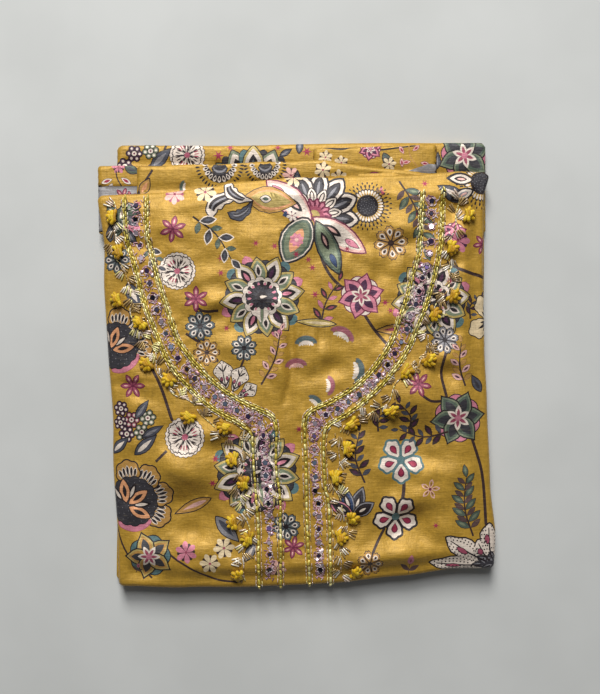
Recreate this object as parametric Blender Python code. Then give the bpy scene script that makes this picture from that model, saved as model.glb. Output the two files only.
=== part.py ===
"""An unstitched salwar kameez suit, folded into one flat packet that lies on a table.

The embroidered kameez front is the top layer. Its folded edges curl down over the packet.
Under it, along the back, show a fold of the kameez back, two folded sleeve pieces and the salwar cloth.
The hidden layers are one rounded solid whose edge is grooved into lips, one for each bundle of layers.
+X is the wearer's left as the front lies face up, +Y runs from hem to neck, +Z is up.
All lengths below are in millimetres; METRE turns them into Blender's metres.
"""

import math

import bmesh
import bpy
import numpy
from mathutils import Vector
from mathutils.bvhtree import BVHTree

METRE = 0.001          # one millimetre in metres
GAP = 0.3              # clearance between pieces that lie on each other
WALL = 1.2             # the cloth, with the air it holds
FOLD = 2.6             # two layers of cloth pressed together in a fold

# Heights above the table.
LOWER_LIP = 4.7        # top of the salwar's lower fold where its edge turns up
UPPER_LIP = 5.0        # lowest edge of the salwar's upper fold
SALWAR_TOP = 8.0
SLEEVE_TOP = SALWAR_TOP + GAP + FOLD
BACK_TOP = SLEEVE_TOP + GAP + FOLD
FRONT_LIP = 9.0        # lowest edge of the kameez front at the sides and the hem end
FRONT_EDGE = 16.4      # top of the kameez front where its edge starts to curl down
FRONT_CROWN = 21.5     # top of the kameez front in the middle of the packet

# The crown is a low dome with full shoulders.
CROWN_HALF_WIDTH = 148.0
CROWN_HALF_LENGTH = 158.0
CROWN_MIDDLE_Y = -10.0
CROWN_POWER = 3.4

# Edges of the salwar's two folds: how far they curl, the wall, and the height of the round part.
SALWAR_WALL = 1.5
UPPER_REACH = 3.0
LOWER_REACH = 3.2
LOWER_RISE = 3.4

STEPS_ACROSS = 20
STEPS_ALONG = 22
CROWDING = 0.55        # how much closer the steps lie near the corners
TUCK_Y = 98.0          # the folds at the back are tucked under the front as far as here

# Corners of each piece as it lies: hem left, hem right, neck right, neck left.
FRONT_CORNERS = ((-133.5, -167.3), (149.0, -153.4), (145.0, 144.0), (-149.7, 126.7))
SALWAR_CORNERS = ((-136.8, -164.3), (146.6, -152.1), (143.6, 168.1), (-136.1, 166.3))
UPPER_CORNERS = ((-136.4, TUCK_Y), (144.0, TUCK_Y), (143.6, 168.1), (-136.1, 166.3))
BACK_CORNERS = ((-120.5, TUCK_Y), (141.0, TUCK_Y), (141.4, 140.3), (-120.0, 149.3))
LEFT_CORNERS = ((-149.4, TUCK_Y), (9.0, TUCK_Y), (9.0, 150.5), (-150.2, 150.1))
RIGHT_CORNERS = ((11.5, TUCK_Y), (106.3, TUCK_Y), (106.3, 166.4), (13.0, 163.4))

# How far each edge bows out of the straight line between its corners: share of the edge, bow.
STRAIGHT = ((0.0, 0.0), (1.0, 0.0))
FRONT_BOWS = {
    "hem": ((0.0, 0.0), (0.18, 3.2), (0.35, 5.2), (0.56, 5.4), (0.75, 2.6), (0.9, -1.0), (1.0, 0.0)),
    "right": ((0.0, 0.0), (0.08, 1.4), (0.22, -2.0), (0.42, -3.6), (0.56, -5.0), (0.78, -5.2), (0.93, -4.6),
              (1.0, 0.0)),
    "neck": ((0.0, 0.0), (0.18, -1.0), (0.27, 1.2), (0.38, 4.0), (0.5, 4.6), (0.63, 3.0), (0.8, 1.4),
             (0.93, 2.2), (1.0, 0.0)),
    "left": ((0.0, 0.0), (0.16, -1.2), (0.3, -0.6), (0.44, -2.4), (0.6, -1.4), (0.76, -1.0), (0.88, -3.0),
             (1.0, 0.0)),
}
BACK_BOWS = {"neck": ((0.0, 0.0), (0.2, 3.0), (0.38, 6.6), (0.54, 9.4), (0.6, 7.2), (0.72, 4.4), (0.86, 2.2),
                      (1.0, 0.0))}
RIGHT_BOWS = {"neck": ((0.0, 0.0), (0.4, -0.6), (0.8, 0.6), (1.0, 0.0))}
SALWAR_BOWS = {"neck": ((0.0, 0.0), (0.3, -0.8), (0.7, 0.6), (1.0, 0.0)),
               "right": ((0.0, 0.0), (0.4, -3.0), (0.8, -1.5), (1.0, 0.0)),
               "left": ((0.0, 0.0), (0.3, -1.5), (0.7, -2.0), (1.0, 0.0)),
               "hem": ((0.0, 0.0), (0.4, 4.0), (0.8, 1.0), (1.0, 0.0))}

# Largest soft folds in the front: where each runs, how wide it is and how high (a trough is negative).
FOLDS = (
    {"from": (-118, 60), "to": (-60, -34), "width": 26, "height": 0.9},
    {"from": (112, 96), "to": (66, -10), "width": 24, "height": 1.1},
    {"from": (-52, 96), "to": (-40, 20), "width": 30, "height": -0.8},
    {"from": (0, 60), "to": (4, -40), "width": 24, "height": 0.8},
    {"from": (40, 84), "to": (30, 0), "width": 26, "height": -0.6},
    {"from": (-130, -76), "to": (-84, -58), "width": 22, "height": -0.9},
    {"from": (-8, -52), "to": (-2, -150), "width": 22, "height": -0.9},
    {"from": (92, -36), "to": (126, -74), "width": 24, "height": 0.8},
    {"from": (-110, -120), "to": (-60, -104), "width": 26, "height": 0.7},
    {"from": (60, -132), "to": (120, -118), "width": 26, "height": -0.7},
)

# Lips along the edge of the hidden layers. The share is of the way from the front's outline to the salwar's.
CORE_LIPS = (
    {"share": 0.0, "top": 8.9, "bottom": 7.75},
    {"share": 0.5, "top": 7.6, "bottom": 6.4},
    {"share": 1.0, "top": 6.15, "bottom": 5.0},
)

# Middle line of the raised neck border, from the shoulder fold down to the hem end.
BORDER_LEFT = ((-123.5, 121.0), (-120.6, 97.0), (-116.0, 78.0), (-109.0, 56.0), (-99.6, 33.0), (-93.0, 14.6),
               (-82.0, -2.0), (-66.0, -20.6), (-47.0, -34.0), (-31.0, -41.4), (-24.6, -52.0), (-23.0, -78.0),
               (-20.2, -105.0), (-19.4, -162.0))
BORDER_RIGHT = ((103.0, 131.6), (101.6, 110.0), (99.6, 86.0), (95.2, 62.0), (87.4, 38.0), (77.6, 16.0),
                (64.6, -2.4), (48.6, -20.0), (31.0, -32.6), (18.4, -42.4), (14.6, -54.0), (15.2, -80.0),
                (17.6, -105.0), (19.0, -159.6))
BORDER_STEPS = 44
# Across the border: share of its half width, height over the panel. The two ridges are the bead rows.
BORDER_HALF = 9.4
BORDER_SECTION = ((-1.0, 0.7), (-0.9, 1.9), (-0.68, 1.9), (-0.56, 1.0), (0.0, 1.3), (0.56, 1.0), (0.68, 1.9),
                  (0.9, 1.9), (1.0, 0.7))
BORDER_CLEAR = 0.55    # from the panel up to the border's underside

# Middles of the bullion-knot flowers, from the shoulder to the hem end.
FLOWERS_LEFT = (
    (-138.0, 109.0), (-132.6, 83.0), (-134.6, 48.6), (-117.6, 31.0), (-112.6, 0.4), (-94.6, -10.8), (-82.0, -39.6),
    (-53.4, -46.6), (-48.6, -71.6), (-38.4, -88.4), (-48.4, -116.6), (-34.6, -130.0), (-45.0, -156.0),
)
FLOWERS_RIGHT = (
    (129.0, 111.8), (115.8, 85.8), (118.0, 51.2), (101.4, 37.6), (100.8, 3.8), (82.0, -6.0), (72.4, -34.4),
    (41.2, -44.8), (40.0, -63.0), (31.0, -84.6), (43.4, -114.0), (33.0, -129.0), (45.8, -153.6),
)
FLOWER_RADIUS = 6.0
FLOWER_HEIGHT = 2.6
FLOWER_PETALS = 5
BETWEEN_PETALS = 0.62   # radius and height of the dips between petals
FLOWER_CLEAR = 14.9    # nearest that a flower's middle comes to the middle of the border
FLOWER_LEAN = 0.18     # how much longer the outermost petal is
# From the underside up: share of the radius, share of the height.
FLOWER_RINGS = ((0.55, 0.0), (0.96, 0.0), (1.0, 0.5), (0.86, 0.85), (0.42, 0.9))
EDGE_SLOPE = 0.5       # nothing is laid where the panel's face is steeper than this

CLOTH_ROUGHNESS = 0.55
BEAD_ROUGHNESS = 0.3
COLOURS = {
    "mustard": (0.60, 0.38, 0.07),
    "mustard_deep": (0.47, 0.29, 0.06),
    "lilac": (0.52, 0.33, 0.45),
    "yellow": (0.62, 0.40, 0.01),
}


def clear_scene():
    """Start from an empty scene."""
    for old in list(bpy.data.objects):
        bpy.data.objects.remove(old, do_unlink=True)


def finish_material(name, colour, roughness):
    """A plain finish of one colour."""
    material = bpy.data.materials.new(name)
    material.use_nodes = True
    shader = material.node_tree.nodes["Principled BSDF"]
    shader.inputs["Base Color"].default_value = (*COLOURS[colour], 1.0)
    shader.inputs["Roughness"].default_value = roughness
    shader.inputs["Metallic"].default_value = 0.0
    return material


def steps(count):
    """Shares from 0 to 1, crowded towards both ends."""
    even = numpy.linspace(0.0, 1.0, count + 1)
    return (1.0 - CROWDING) * even + CROWDING * (0.5 - 0.5 * numpy.cos(math.pi * even))


def smooth_between(low, high, value):
    """0 below low, 1 above high, and a soft rise between."""
    share = numpy.clip((value - low) / (high - low), 0.0, 1.0)
    return share * share * (3.0 - 2.0 * share)


def bow_at(table, share):
    """The bow at a share of an edge, by soft steps between the table's rows."""
    bow = numpy.zeros_like(share)
    for (start, first), (end, last) in zip(table[:-1], table[1:]):
        inside = (share >= start) & (share <= end)
        bow[inside] = (first + (last - first) * smooth_between(start, end, share))[inside]
    return bow


def edge_points(start, end, table, shares, outward):
    """Points of one edge of a piece, bowed to the side that outward (1 or -1) names."""
    start, end = numpy.array(start), numpy.array(end)
    along = end - start
    normal = numpy.array((along[1], -along[0])) / numpy.linalg.norm(along) * outward
    return start + shares[:, None] * along + bow_at(table, shares)[:, None] * normal


def outline(corners, bows, across, along, neck_y=None):
    """The closed outline of a four-sided piece, counter-clockwise from its hem left corner.

    With neck_y the piece is cut straight across there.
    """
    hem_left, hem_right, neck_right, neck_left = corners
    hem = edge_points(hem_left, hem_right, bows.get("hem", STRAIGHT), across, 1)
    right_part = 1.0 if neck_y is None else (neck_y - hem_right[1]) / (neck_right[1] - hem_right[1])
    left_part = 1.0 if neck_y is None else (neck_y - hem_left[1]) / (neck_left[1] - hem_left[1])
    right = edge_points(hem_right, neck_right, bows.get("right", STRAIGHT), along * right_part, 1)
    left = edge_points(hem_left, neck_left, bows.get("left", STRAIGHT), along * left_part, -1)
    if neck_y is None:
        neck = edge_points(neck_left, neck_right, bows.get("neck", STRAIGHT), across, -1)
    else:
        neck = edge_points(left[-1], right[-1], STRAIGHT, across, -1)
    return numpy.concatenate((hem[:-1], right[:-1], neck[::-1][:-1], left[::-1][:-1]))


def outward_normals(loop):
    """Sideways directions out of a counter-clockwise loop, softened so that corners come out round."""
    before, after = numpy.roll(loop, 1, axis=0), numpy.roll(loop, -1, axis=0)
    first, last = loop - before, after - loop
    first /= numpy.linalg.norm(first, axis=1)[:, None]
    last /= numpy.linalg.norm(last, axis=1)[:, None]
    tangent = first + last
    tangent = tangent + 0.35 * (numpy.roll(tangent, 1, axis=0) + numpy.roll(tangent, -1, axis=0))
    tangent /= numpy.linalg.norm(tangent, axis=1)[:, None]
    return numpy.stack((tangent[:, 1], -tangent[:, 0]), axis=1)


def offset(loop, distance):
    """The loop moved outwards by a distance, which may differ from point to point."""
    return loop + outward_normals(loop) * numpy.reshape(distance, (-1, 1))


def inner_grid(loop, across_count, along_count):
    """Inner points of a patch whose outline is the loop, row by row from the hem end."""
    corner = (0, across_count, across_count + along_count, 2 * across_count + along_count)
    hem = loop[corner[0]:corner[1] + 1]
    right = loop[corner[1]:corner[2] + 1]
    neck = loop[corner[2]:corner[3] + 1][::-1]
    left = numpy.concatenate((loop[corner[3]:], loop[:1]))[::-1]
    u = share_along(hem)[:, None]
    rows = []
    for row in range(1, along_count):
        v = 0.5 * (share_along(left)[row] + share_along(right)[row])
        ends = (1 - u) * left[row] + u * right[row]
        sides = (1 - v) * hem + v * neck
        bilinear = (1 - v) * ((1 - u) * hem[0] + u * hem[-1]) + v * ((1 - u) * neck[0] + u * neck[-1])
        rows.append((ends + sides - bilinear)[1:-1])
    return numpy.array(rows)


def share_along(points):
    """How far along its own chord each point of an edge lies, from 0 to 1."""
    chord = points[-1] - points[0]
    return (points - points[0]) @ chord / (chord @ chord)


def fold_heights(places):
    """Heights that the large soft folds add at each place."""
    total = numpy.zeros(len(places))
    for fold in FOLDS:
        start, end = numpy.array(fold["from"], float), numpy.array(fold["to"], float)
        along = end - start
        share = numpy.clip(((places - start) @ along) / (along @ along), 0.0, 1.0)
        away = numpy.linalg.norm(places - start - share[:, None] * along, axis=1)
        total += fold["height"] * numpy.exp(-(2.2 * away / fold["width"]) ** 2)
    return total


def front_height(places):
    """Top of the kameez front: a low crown that falls off near its edges, with its soft folds."""
    across = 1.0 - numpy.abs(places[:, 0] / CROWN_HALF_WIDTH) ** CROWN_POWER
    along = 1.0 - numpy.abs((places[:, 1] - CROWN_MIDDLE_Y) / CROWN_HALF_LENGTH) ** CROWN_POWER
    crown = numpy.clip(across, 0.0, 1.0) * numpy.clip(along, 0.0, 1.0)
    return FRONT_EDGE + (FRONT_CROWN - FRONT_EDGE) * crown + fold_heights(places) * numpy.sqrt(crown)


def support_height(places):
    """What the curled edge of the front comes down to: the folds at the back, and the lips elsewhere."""
    over_back = smooth_between(86.0, 93.0, places[:, 1]) * smooth_between(-138.0, -129.0, places[:, 0])
    over_left = smooth_between(86.0, 93.0, places[:, 1])
    base = FRONT_LIP + (SLEEVE_TOP + GAP - FRONT_LIP) * over_left
    return base + (back_height(places) + 2 * GAP - base) * over_back


def back_height(places):
    """Top of the kameez back's fold, which sinks onto the salwar cloth at its right end."""
    return BACK_TOP - (FOLD + 0.1) * smooth_between(110.0, 134.0, places[:, 0])


def named_object(name, mesh, colour, roughness):
    """One object of a closed mesh, with its faces turned out and its own finish."""
    bmesh.ops.recalc_face_normals(mesh, faces=mesh.faces)
    data = bpy.data.meshes.new(name)
    mesh.to_mesh(data)
    mesh.free()
    data.shade_smooth()
    data.materials.append(finish_material(name + "_finish", colour, roughness))
    made = bpy.data.objects.new(name, data)
    bpy.context.collection.objects.link(made)
    return made


class Solid:
    """One closed body, built from loops of equal length that follow each other, and a cap at each end."""

    def __init__(self, across_count, along_count):
        self.mesh = bmesh.new()
        self.across = across_count
        self.along = along_count
        self.last = None

    def ring(self, loop, height):
        """Add a loop at a height, or at one height for each of its points, and join it to the last one."""
        heights = numpy.broadcast_to(height, (len(loop),))
        verts = [self.mesh.verts.new((x * METRE, y * METRE, z * METRE)) for (x, y), z in zip(loop, heights)]
        if self.last:
            for place in range(len(verts)):
                after = (place + 1) % len(verts)
                self.mesh.faces.new((self.last[place], self.last[after], verts[after], verts[place]))
        self.last = verts
        return verts

    def flat_cap(self):
        """Close the last loop with one flat face."""
        self.mesh.faces.new(self.last)

    def grid_cap(self, loop, height_of):
        """Close the last loop with a grid whose inner points take their heights from a function."""
        inner = inner_grid(loop, self.across, self.along)
        rim, count = self.last, len(self.last)
        hem_right, neck_left = self.across + self.along, 2 * self.across + self.along
        rows = [rim[:self.across + 1]]
        for row in range(1, self.along):
            heights = height_of(inner[row - 1])
            middle = [self.mesh.verts.new((x * METRE, y * METRE, z * METRE))
                      for (x, y), z in zip(inner[row - 1], heights)]
            rows.append([rim[count - row]] + middle + [rim[self.across + row]])
        rows.append([rim[place] for place in range(neck_left, hem_right - 1, -1)])
        for low, high in zip(rows[:-1], rows[1:]):
            for place in range(self.across):
                self.mesh.faces.new((low[place], low[place + 1], high[place + 1], high[place]))

    def finish(self, name, colour):
        """Make the body one named object."""
        return named_object(name, self.mesh, colour, CLOTH_ROUGHNESS)


def arc(count):
    """Reach out and drop down of a quarter turn of radius 1, in equal steps, without its start."""
    turns = [math.pi / 2 * step / count for step in range(1, count + 1)]
    return [(math.sin(turn), 1.0 - math.cos(turn)) for turn in turns]


def kameez_front():
    """The top wall: a crowned panel whose edges curl down and end in a lip."""
    across, along = steps(STEPS_ACROSS), steps(STEPS_ALONG)
    edge = outline(FRONT_CORNERS, FRONT_BOWS, across, along)
    lip = support_height(edge)
    rise = FRONT_EDGE - lip
    reach = 0.8 * rise
    drop = 0.75 * rise
    seat = offset(edge, -reach)
    solid = Solid(STEPS_ACROSS, STEPS_ALONG)
    solid.ring(seat, FRONT_EDGE)
    solid.grid_cap(seat, front_height)
    for out, down in arc(4):
        solid.ring(offset(seat, reach * out), FRONT_EDGE - drop * down)
    solid.ring(offset(seat, reach - 0.2), lip)
    solid.ring(offset(seat, reach - WALL), lip)
    for out, down in reversed(arc(3)):
        solid.ring(offset(seat, (reach - WALL) * out), FRONT_EDGE - WALL - (drop - 0.8 * WALL) * down)
    solid.ring(seat, FRONT_EDGE - WALL)
    solid.grid_cap(seat, lambda places: front_height(places) - WALL)
    return solid.finish("kameez_front", "mustard")


def folded_strip(name, corners, bows, top_height, thickness, colour, across_count, along_count=4):
    """A strip of folded cloth with round edges, as it shows along the back of the packet."""
    across, along = steps(across_count), steps(along_count)
    edge = outline(corners, bows, across, along)
    radius = thickness / 2
    solid = Solid(across_count, along_count)
    seat = offset(edge, -radius)
    solid.ring(seat, top_height(seat))
    solid.grid_cap(seat, top_height)
    for out, down in arc(2):
        solid.ring(offset(seat, radius * out), top_height(seat) - radius * down)
    solid.ring(offset(seat, radius * math.sin(math.pi / 4)),
               top_height(seat) - thickness + radius * (1 - math.cos(math.pi / 4)))
    solid.ring(seat, top_height(seat) - thickness)
    solid.grid_cap(seat, lambda places: top_height(places) - thickness)
    return solid.finish(name, colour)


def level(height):
    """A height function that is the same everywhere."""
    return lambda places: numpy.full(len(places), height)


def salwar_upper_fold():
    """The salwar's upper layer, which shows along the back, with its edges curled down."""
    across_count, along_count = 14, 4
    edge = outline(UPPER_CORNERS, {"neck": SALWAR_BOWS["neck"]}, steps(across_count), steps(along_count))
    reach, wall = UPPER_REACH, SALWAR_WALL
    tucked = edge[:, 1] < TUCK_Y + 1.0
    lip = numpy.where(tucked, SALWAR_TOP - wall, UPPER_LIP)
    rise = SALWAR_TOP - lip
    seat = offset(edge, -reach)
    solid = Solid(across_count, along_count)
    solid.ring(seat, SALWAR_TOP)
    solid.grid_cap(seat, level(SALWAR_TOP))
    for out, down in arc(3):
        solid.ring(offset(seat, reach * out), SALWAR_TOP - 0.8 * rise * down)
    solid.ring(offset(seat, reach), lip)
    solid.ring(offset(seat, reach - wall), lip)
    solid.ring(offset(seat, reach - wall - 0.8), SALWAR_TOP - wall)
    solid.ring(offset(seat, -0.8), SALWAR_TOP - wall)
    solid.grid_cap(offset(seat, -0.8), level(SALWAR_TOP - wall))
    return solid.finish("salwar_upper_fold", "mustard_deep")


def salwar_lower_fold():
    """The packet's underside: a flat bottom wall whose edges turn up in a round fold."""
    edge = outline(SALWAR_CORNERS, SALWAR_BOWS, steps(STEPS_ACROSS), steps(STEPS_ALONG))
    reach, wall, rise = LOWER_REACH, SALWAR_WALL, LOWER_RISE
    seat = offset(edge, -reach)
    solid = Solid(STEPS_ACROSS, STEPS_ALONG)
    solid.ring(seat, 0.0)
    solid.flat_cap()
    for out, up in arc(3):
        solid.ring(offset(seat, reach * out), rise * up)
    solid.ring(offset(seat, reach - 0.2), LOWER_LIP)
    solid.ring(offset(seat, reach - wall), LOWER_LIP)
    for out, up in reversed(arc(2)):
        solid.ring(offset(seat, (reach - wall) * out), wall + (rise - wall) * up)
    solid.ring(offset(seat, -0.6), wall)
    solid.flat_cap()
    return solid.finish("salwar_lower_fold", "mustard_deep")


def inner_folds():
    """The hidden layers: one rounded solid, stepped back under the folds and grooved along its edge."""
    across, along = steps(STEPS_ACROSS), steps(STEPS_ALONG)
    under_wall = WALL + 1.6
    tucked = TUCK_Y - 3.0
    over_back = 122.0

    def loop(share, inset, neck_y=None):
        """A loop part of the way from the front's outline to the salwar's, moved in."""
        front = outline(FRONT_CORNERS, FRONT_BOWS, across, along, neck_y)
        salwar = outline(SALWAR_CORNERS, SALWAR_BOWS, across, along, neck_y)
        mixed = (1 - share) * front + share * salwar
        return offset(mixed, -numpy.broadcast_to(inset, (len(mixed),)))

    def top(places):
        return front_height(places) - under_wall

    crown = loop(0.0, 7.6, over_back)
    solid = Solid(STEPS_ACROSS, STEPS_ALONG)
    solid.ring(crown, numpy.maximum(top(crown) - 0.5, BACK_TOP + GAP + 0.25))
    solid.grid_cap(crown, top)
    solid.ring(loop(0.0, 6.4, over_back), BACK_TOP + GAP + 0.1)
    solid.ring(loop(0.0, 6.0, tucked), BACK_TOP + GAP)
    solid.ring(loop(0.0, 3.4, tucked), 11.6)
    solid.ring(loop(0.0, 2.6, tucked), FRONT_LIP + 0.3)
    # Under the upper fold the lowest lip stands further in, clear of that fold's edge.
    behind = outline(SALWAR_CORNERS, SALWAR_BOWS, across, along)[:, 1] > TUCK_Y - 18.0
    lip_in = numpy.where(behind, 5.0, 1.4)
    groove_in = numpy.where(behind, 5.6, 3.4)
    for lip in CORE_LIPS:
        middle = (lip["top"] + lip["bottom"]) / 2
        reaches_back = lip["share"] == 1.0
        neck_y = None if reaches_back else tucked
        out, groove = (lip_in, groove_in) if reaches_back else (1.4, 3.4)
        if reaches_back:
            solid.ring(loop(1.0, 6.6, tucked), lip["top"] + 0.1)
        solid.ring(loop(lip["share"], groove, neck_y), lip["top"])
        solid.ring(loop(lip["share"], out, neck_y), middle + 0.25)
        solid.ring(loop(lip["share"], out, neck_y), middle - 0.25)
        solid.ring(loop(lip["share"], groove, neck_y), lip["bottom"])
    solid.ring(loop(1.0, numpy.where(behind, 5.8, 4.4)), 3.0)
    solid.ring(loop(1.0, 6.6), SALWAR_WALL + GAP)
    solid.flat_cap()
    return solid.finish("inner_folds", "mustard_deep")


class Surface:
    """The outer face of the front, to lay other pieces on."""

    def __init__(self, panel):
        self.tree = BVHTree.FromObject(panel, bpy.context.evaluated_depsgraph_get())

    def over(self, place, clear, middle):
        """The point out from the panel's face above a place, drawn in to the middle where it would miss."""
        place, middle = numpy.array(place, float), numpy.array(middle, float)
        for pull in numpy.linspace(0.0, 1.0, 21):
            x, y = place + pull * (middle - place)
            hit, normal, _, _ = self.tree.ray_cast(Vector((x, y, 100.0)) * METRE, Vector((0, 0, -1)))
            if hit and normal.z > EDGE_SLOPE:
                return hit + normal * clear * METRE
        raise ValueError(f"no panel under {tuple(middle)}")


def curve_through(points, count):
    """Evenly spaced points on a smooth curve through the points given."""
    points = [Vector(point) for point in points]
    padded = [points[0] * 2 - points[1]] + points + [points[-1] * 2 - points[-2]]
    fine = []
    for p0, p1, p2, p3 in zip(padded, padded[1:], padded[2:], padded[3:]):
        for step in range(12):
            t = step / 12
            fine.append(0.5 * (2 * p1 + (p2 - p0) * t + (2 * p0 - 5 * p1 + 4 * p2 - p3) * t * t
                               + (3 * p1 - p0 - 3 * p2 + p3) * t * t * t))
    fine.append(points[-1])
    lengths = numpy.cumsum([0.0] + [(b - a).length for a, b in zip(fine, fine[1:])])
    wanted = numpy.linspace(0.0, lengths[-1], count)
    xs = numpy.interp(wanted, lengths, [point.x for point in fine])
    ys = numpy.interp(wanted, lengths, [point.y for point in fine])
    return numpy.stack((xs, ys), axis=1)


def neck_border(name, route, surface):
    """A raised border: two ridges for the bead rows and the mirror row between, over a plain underside."""
    middle = curve_through(route, BORDER_STEPS)
    tangent = numpy.gradient(middle, axis=0)
    tangent /= numpy.linalg.norm(tangent, axis=1)[:, None]
    side = numpy.stack((tangent[:, 1], -tangent[:, 0]), axis=1)
    mesh = bmesh.new()
    sections = []
    for point, away in zip(middle, side):
        places = [point + away * share * BORDER_HALF for share, _ in BORDER_SECTION]
        heights = [height for _, height in BORDER_SECTION]
        top = [mesh.verts.new(surface.over(place, BORDER_CLEAR + height, point))
               for place, height in zip(places, heights)]
        under = [mesh.verts.new(surface.over(place, BORDER_CLEAR, point)) for place in places[::2]]
        sections.append(top + under[::-1])
    for first, second in zip(sections, sections[1:]):
        for place in range(len(first)):
            after = (place + 1) % len(first)
            mesh.faces.new((first[place], first[after], second[after], second[place]))
    mesh.faces.new(sections[0])
    mesh.faces.new(sections[-1])
    return named_object(name, mesh, "lilac", BEAD_ROUGHNESS)


def beside_border(middle, route):
    """A flower's middle, moved out clear of the border, and the direction away from the border."""
    line = curve_through(route, BORDER_STEPS * 4)
    nearest = line[numpy.argmin(numpy.linalg.norm(line - middle, axis=1))]
    away = numpy.array(middle) - nearest
    distance = numpy.linalg.norm(away)
    return nearest + away * max(1.0, FLOWER_CLEAR / distance), math.atan2(away[1], away[0])


def bullion_flower(name, middle, turn, surface):
    """A flower of thick wound-thread loops: five full petals round a raised middle."""
    mesh = bmesh.new()
    around = FLOWER_PETALS * 2
    loops = []
    for spread, rise in FLOWER_RINGS:
        loop = []
        for place in range(around):
            petal = 1.0 if place % 2 == 0 else BETWEEN_PETALS
            share = 2 * math.pi * place / around
            radius = FLOWER_RADIUS * spread * petal * (1.0 + FLOWER_LEAN * math.cos(share))
            angle = turn + share
            reach = (middle[0] + radius * math.cos(angle), middle[1] + radius * math.sin(angle))
            height = BORDER_CLEAR + FLOWER_HEIGHT * rise * petal
            loop.append(mesh.verts.new(surface.over(reach, height, middle)))
        loops.append(loop)
    for first, second in zip(loops, loops[1:]):
        for place in range(around):
            after = (place + 1) % around
            mesh.faces.new((first[place], first[after], second[after], second[place]))
    top = mesh.verts.new(surface.over(middle, BORDER_CLEAR + FLOWER_HEIGHT, middle))
    under = mesh.verts.new(surface.over(middle, BORDER_CLEAR, middle))
    for place in range(around):
        after = (place + 1) % around
        mesh.faces.new((loops[-1][place], loops[-1][after], top))
        mesh.faces.new((loops[0][place], loops[0][after], under))
    return named_object(name, mesh, "yellow", CLOTH_ROUGHNESS)


def build():
    """Make every piece of the suit."""
    clear_scene()
    salwar_lower_fold()
    inner_folds()
    salwar_upper_fold()
    folded_strip("sleeve_piece_left", LEFT_CORNERS, {}, level(SLEEVE_TOP), FOLD, "mustard", 12)
    folded_strip("sleeve_piece_right", RIGHT_CORNERS, RIGHT_BOWS, level(SLEEVE_TOP), FOLD, "mustard", 8)
    folded_strip("kameez_back", BACK_CORNERS, BACK_BOWS, back_height, FOLD, "mustard", 16)
    front = kameez_front()
    surface = Surface(front)
    neck_border("neck_border_left", BORDER_LEFT, surface)
    neck_border("neck_border_right", BORDER_RIGHT, surface)
    sewn = [(middle, BORDER_LEFT) for middle in FLOWERS_LEFT]
    sewn += [(middle, BORDER_RIGHT) for middle in FLOWERS_RIGHT]
    for number, (middle, route) in enumerate(sewn, start=1):
        place, turn = beside_border(middle, route)
        bullion_flower(f"bullion_flower_{number:02d}", place, turn, surface)


build()
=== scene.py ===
"""The looks of a folded salwar kameez suit: printed silk, its folds and its beaded neck.

Lengths are in millimetres until a mesh is made; METRE turns them into Blender's metres.
"""

import math

import bpy
import numpy as np
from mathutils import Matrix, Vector
from mathutils.geometry import delaunay_2d_cdt


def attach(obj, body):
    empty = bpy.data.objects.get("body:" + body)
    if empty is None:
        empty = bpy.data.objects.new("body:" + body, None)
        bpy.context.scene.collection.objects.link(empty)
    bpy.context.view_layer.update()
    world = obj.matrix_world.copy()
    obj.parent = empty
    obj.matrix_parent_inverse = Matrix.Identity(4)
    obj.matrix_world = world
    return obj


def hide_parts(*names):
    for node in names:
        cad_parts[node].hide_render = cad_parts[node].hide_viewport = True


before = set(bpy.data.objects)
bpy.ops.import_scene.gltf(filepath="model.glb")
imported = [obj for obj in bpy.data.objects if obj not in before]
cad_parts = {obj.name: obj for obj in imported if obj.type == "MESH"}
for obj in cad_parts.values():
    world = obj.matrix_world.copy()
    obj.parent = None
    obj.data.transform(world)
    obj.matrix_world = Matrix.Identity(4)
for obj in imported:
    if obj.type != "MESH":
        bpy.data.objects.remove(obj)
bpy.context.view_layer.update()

METRE = 0.001
TAU = 2 * math.pi

# ---------------- camera

CAMERA_HEIGHT = 700.0
CAMERA_PLACE = (2.8, 13.0)
VIEW_WIDTH = 459.8       # how much of the table the view takes in, side to side
SENSOR_WIDTH = 36.0


def look_down():
    """A camera straight above the packet."""
    data = bpy.data.cameras.new("camera")
    data.sensor_fit = "HORIZONTAL"
    data.sensor_width = SENSOR_WIDTH
    data.lens = SENSOR_WIDTH * CAMERA_HEIGHT / VIEW_WIDTH
    camera = bpy.data.objects.new("camera", data)
    camera.location = Vector((*CAMERA_PLACE, CAMERA_HEIGHT)) * METRE
    bpy.context.collection.objects.link(camera)
    bpy.context.scene.camera = camera
    bpy.context.scene.view_settings.view_transform = "Standard"


look_down()

# ---------------- sizes shared by the solids

WALL = 1.2
FOLD = 2.6
GAP = 0.3
SALWAR_TOP = 8.0
SLEEVE_TOP = SALWAR_TOP + GAP + FOLD
BACK_TOP = SLEEVE_TOP + GAP + FOLD
FRONT_LIP = 9.0
FRONT_EDGE = 16.4
FRONT_CROWN = 21.5
TUCK_Y = 98.0

# Corners of each piece: hem left, hem right, neck right, neck left.
FRONT_CORNERS = ((-133.5, -167.3), (149.0, -153.4), (145.0, 144.0), (-149.7, 126.7))
SALWAR_CORNERS = ((-136.8, -164.3), (146.6, -152.1), (143.6, 168.1), (-136.1, 166.3))
UPPER_CORNERS = ((-136.4, TUCK_Y), (144.0, TUCK_Y), (143.6, 168.1), (-136.1, 166.3))
BACK_CORNERS = ((-120.5, TUCK_Y), (141.0, TUCK_Y), (141.4, 140.3), (-120.0, 149.3))
LEFT_CORNERS = ((-149.4, TUCK_Y), (9.0, TUCK_Y), (9.0, 150.5), (-150.2, 150.1))
RIGHT_CORNERS = ((11.5, TUCK_Y), (106.3, TUCK_Y), (106.3, 166.4), (13.0, 163.4))

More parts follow.
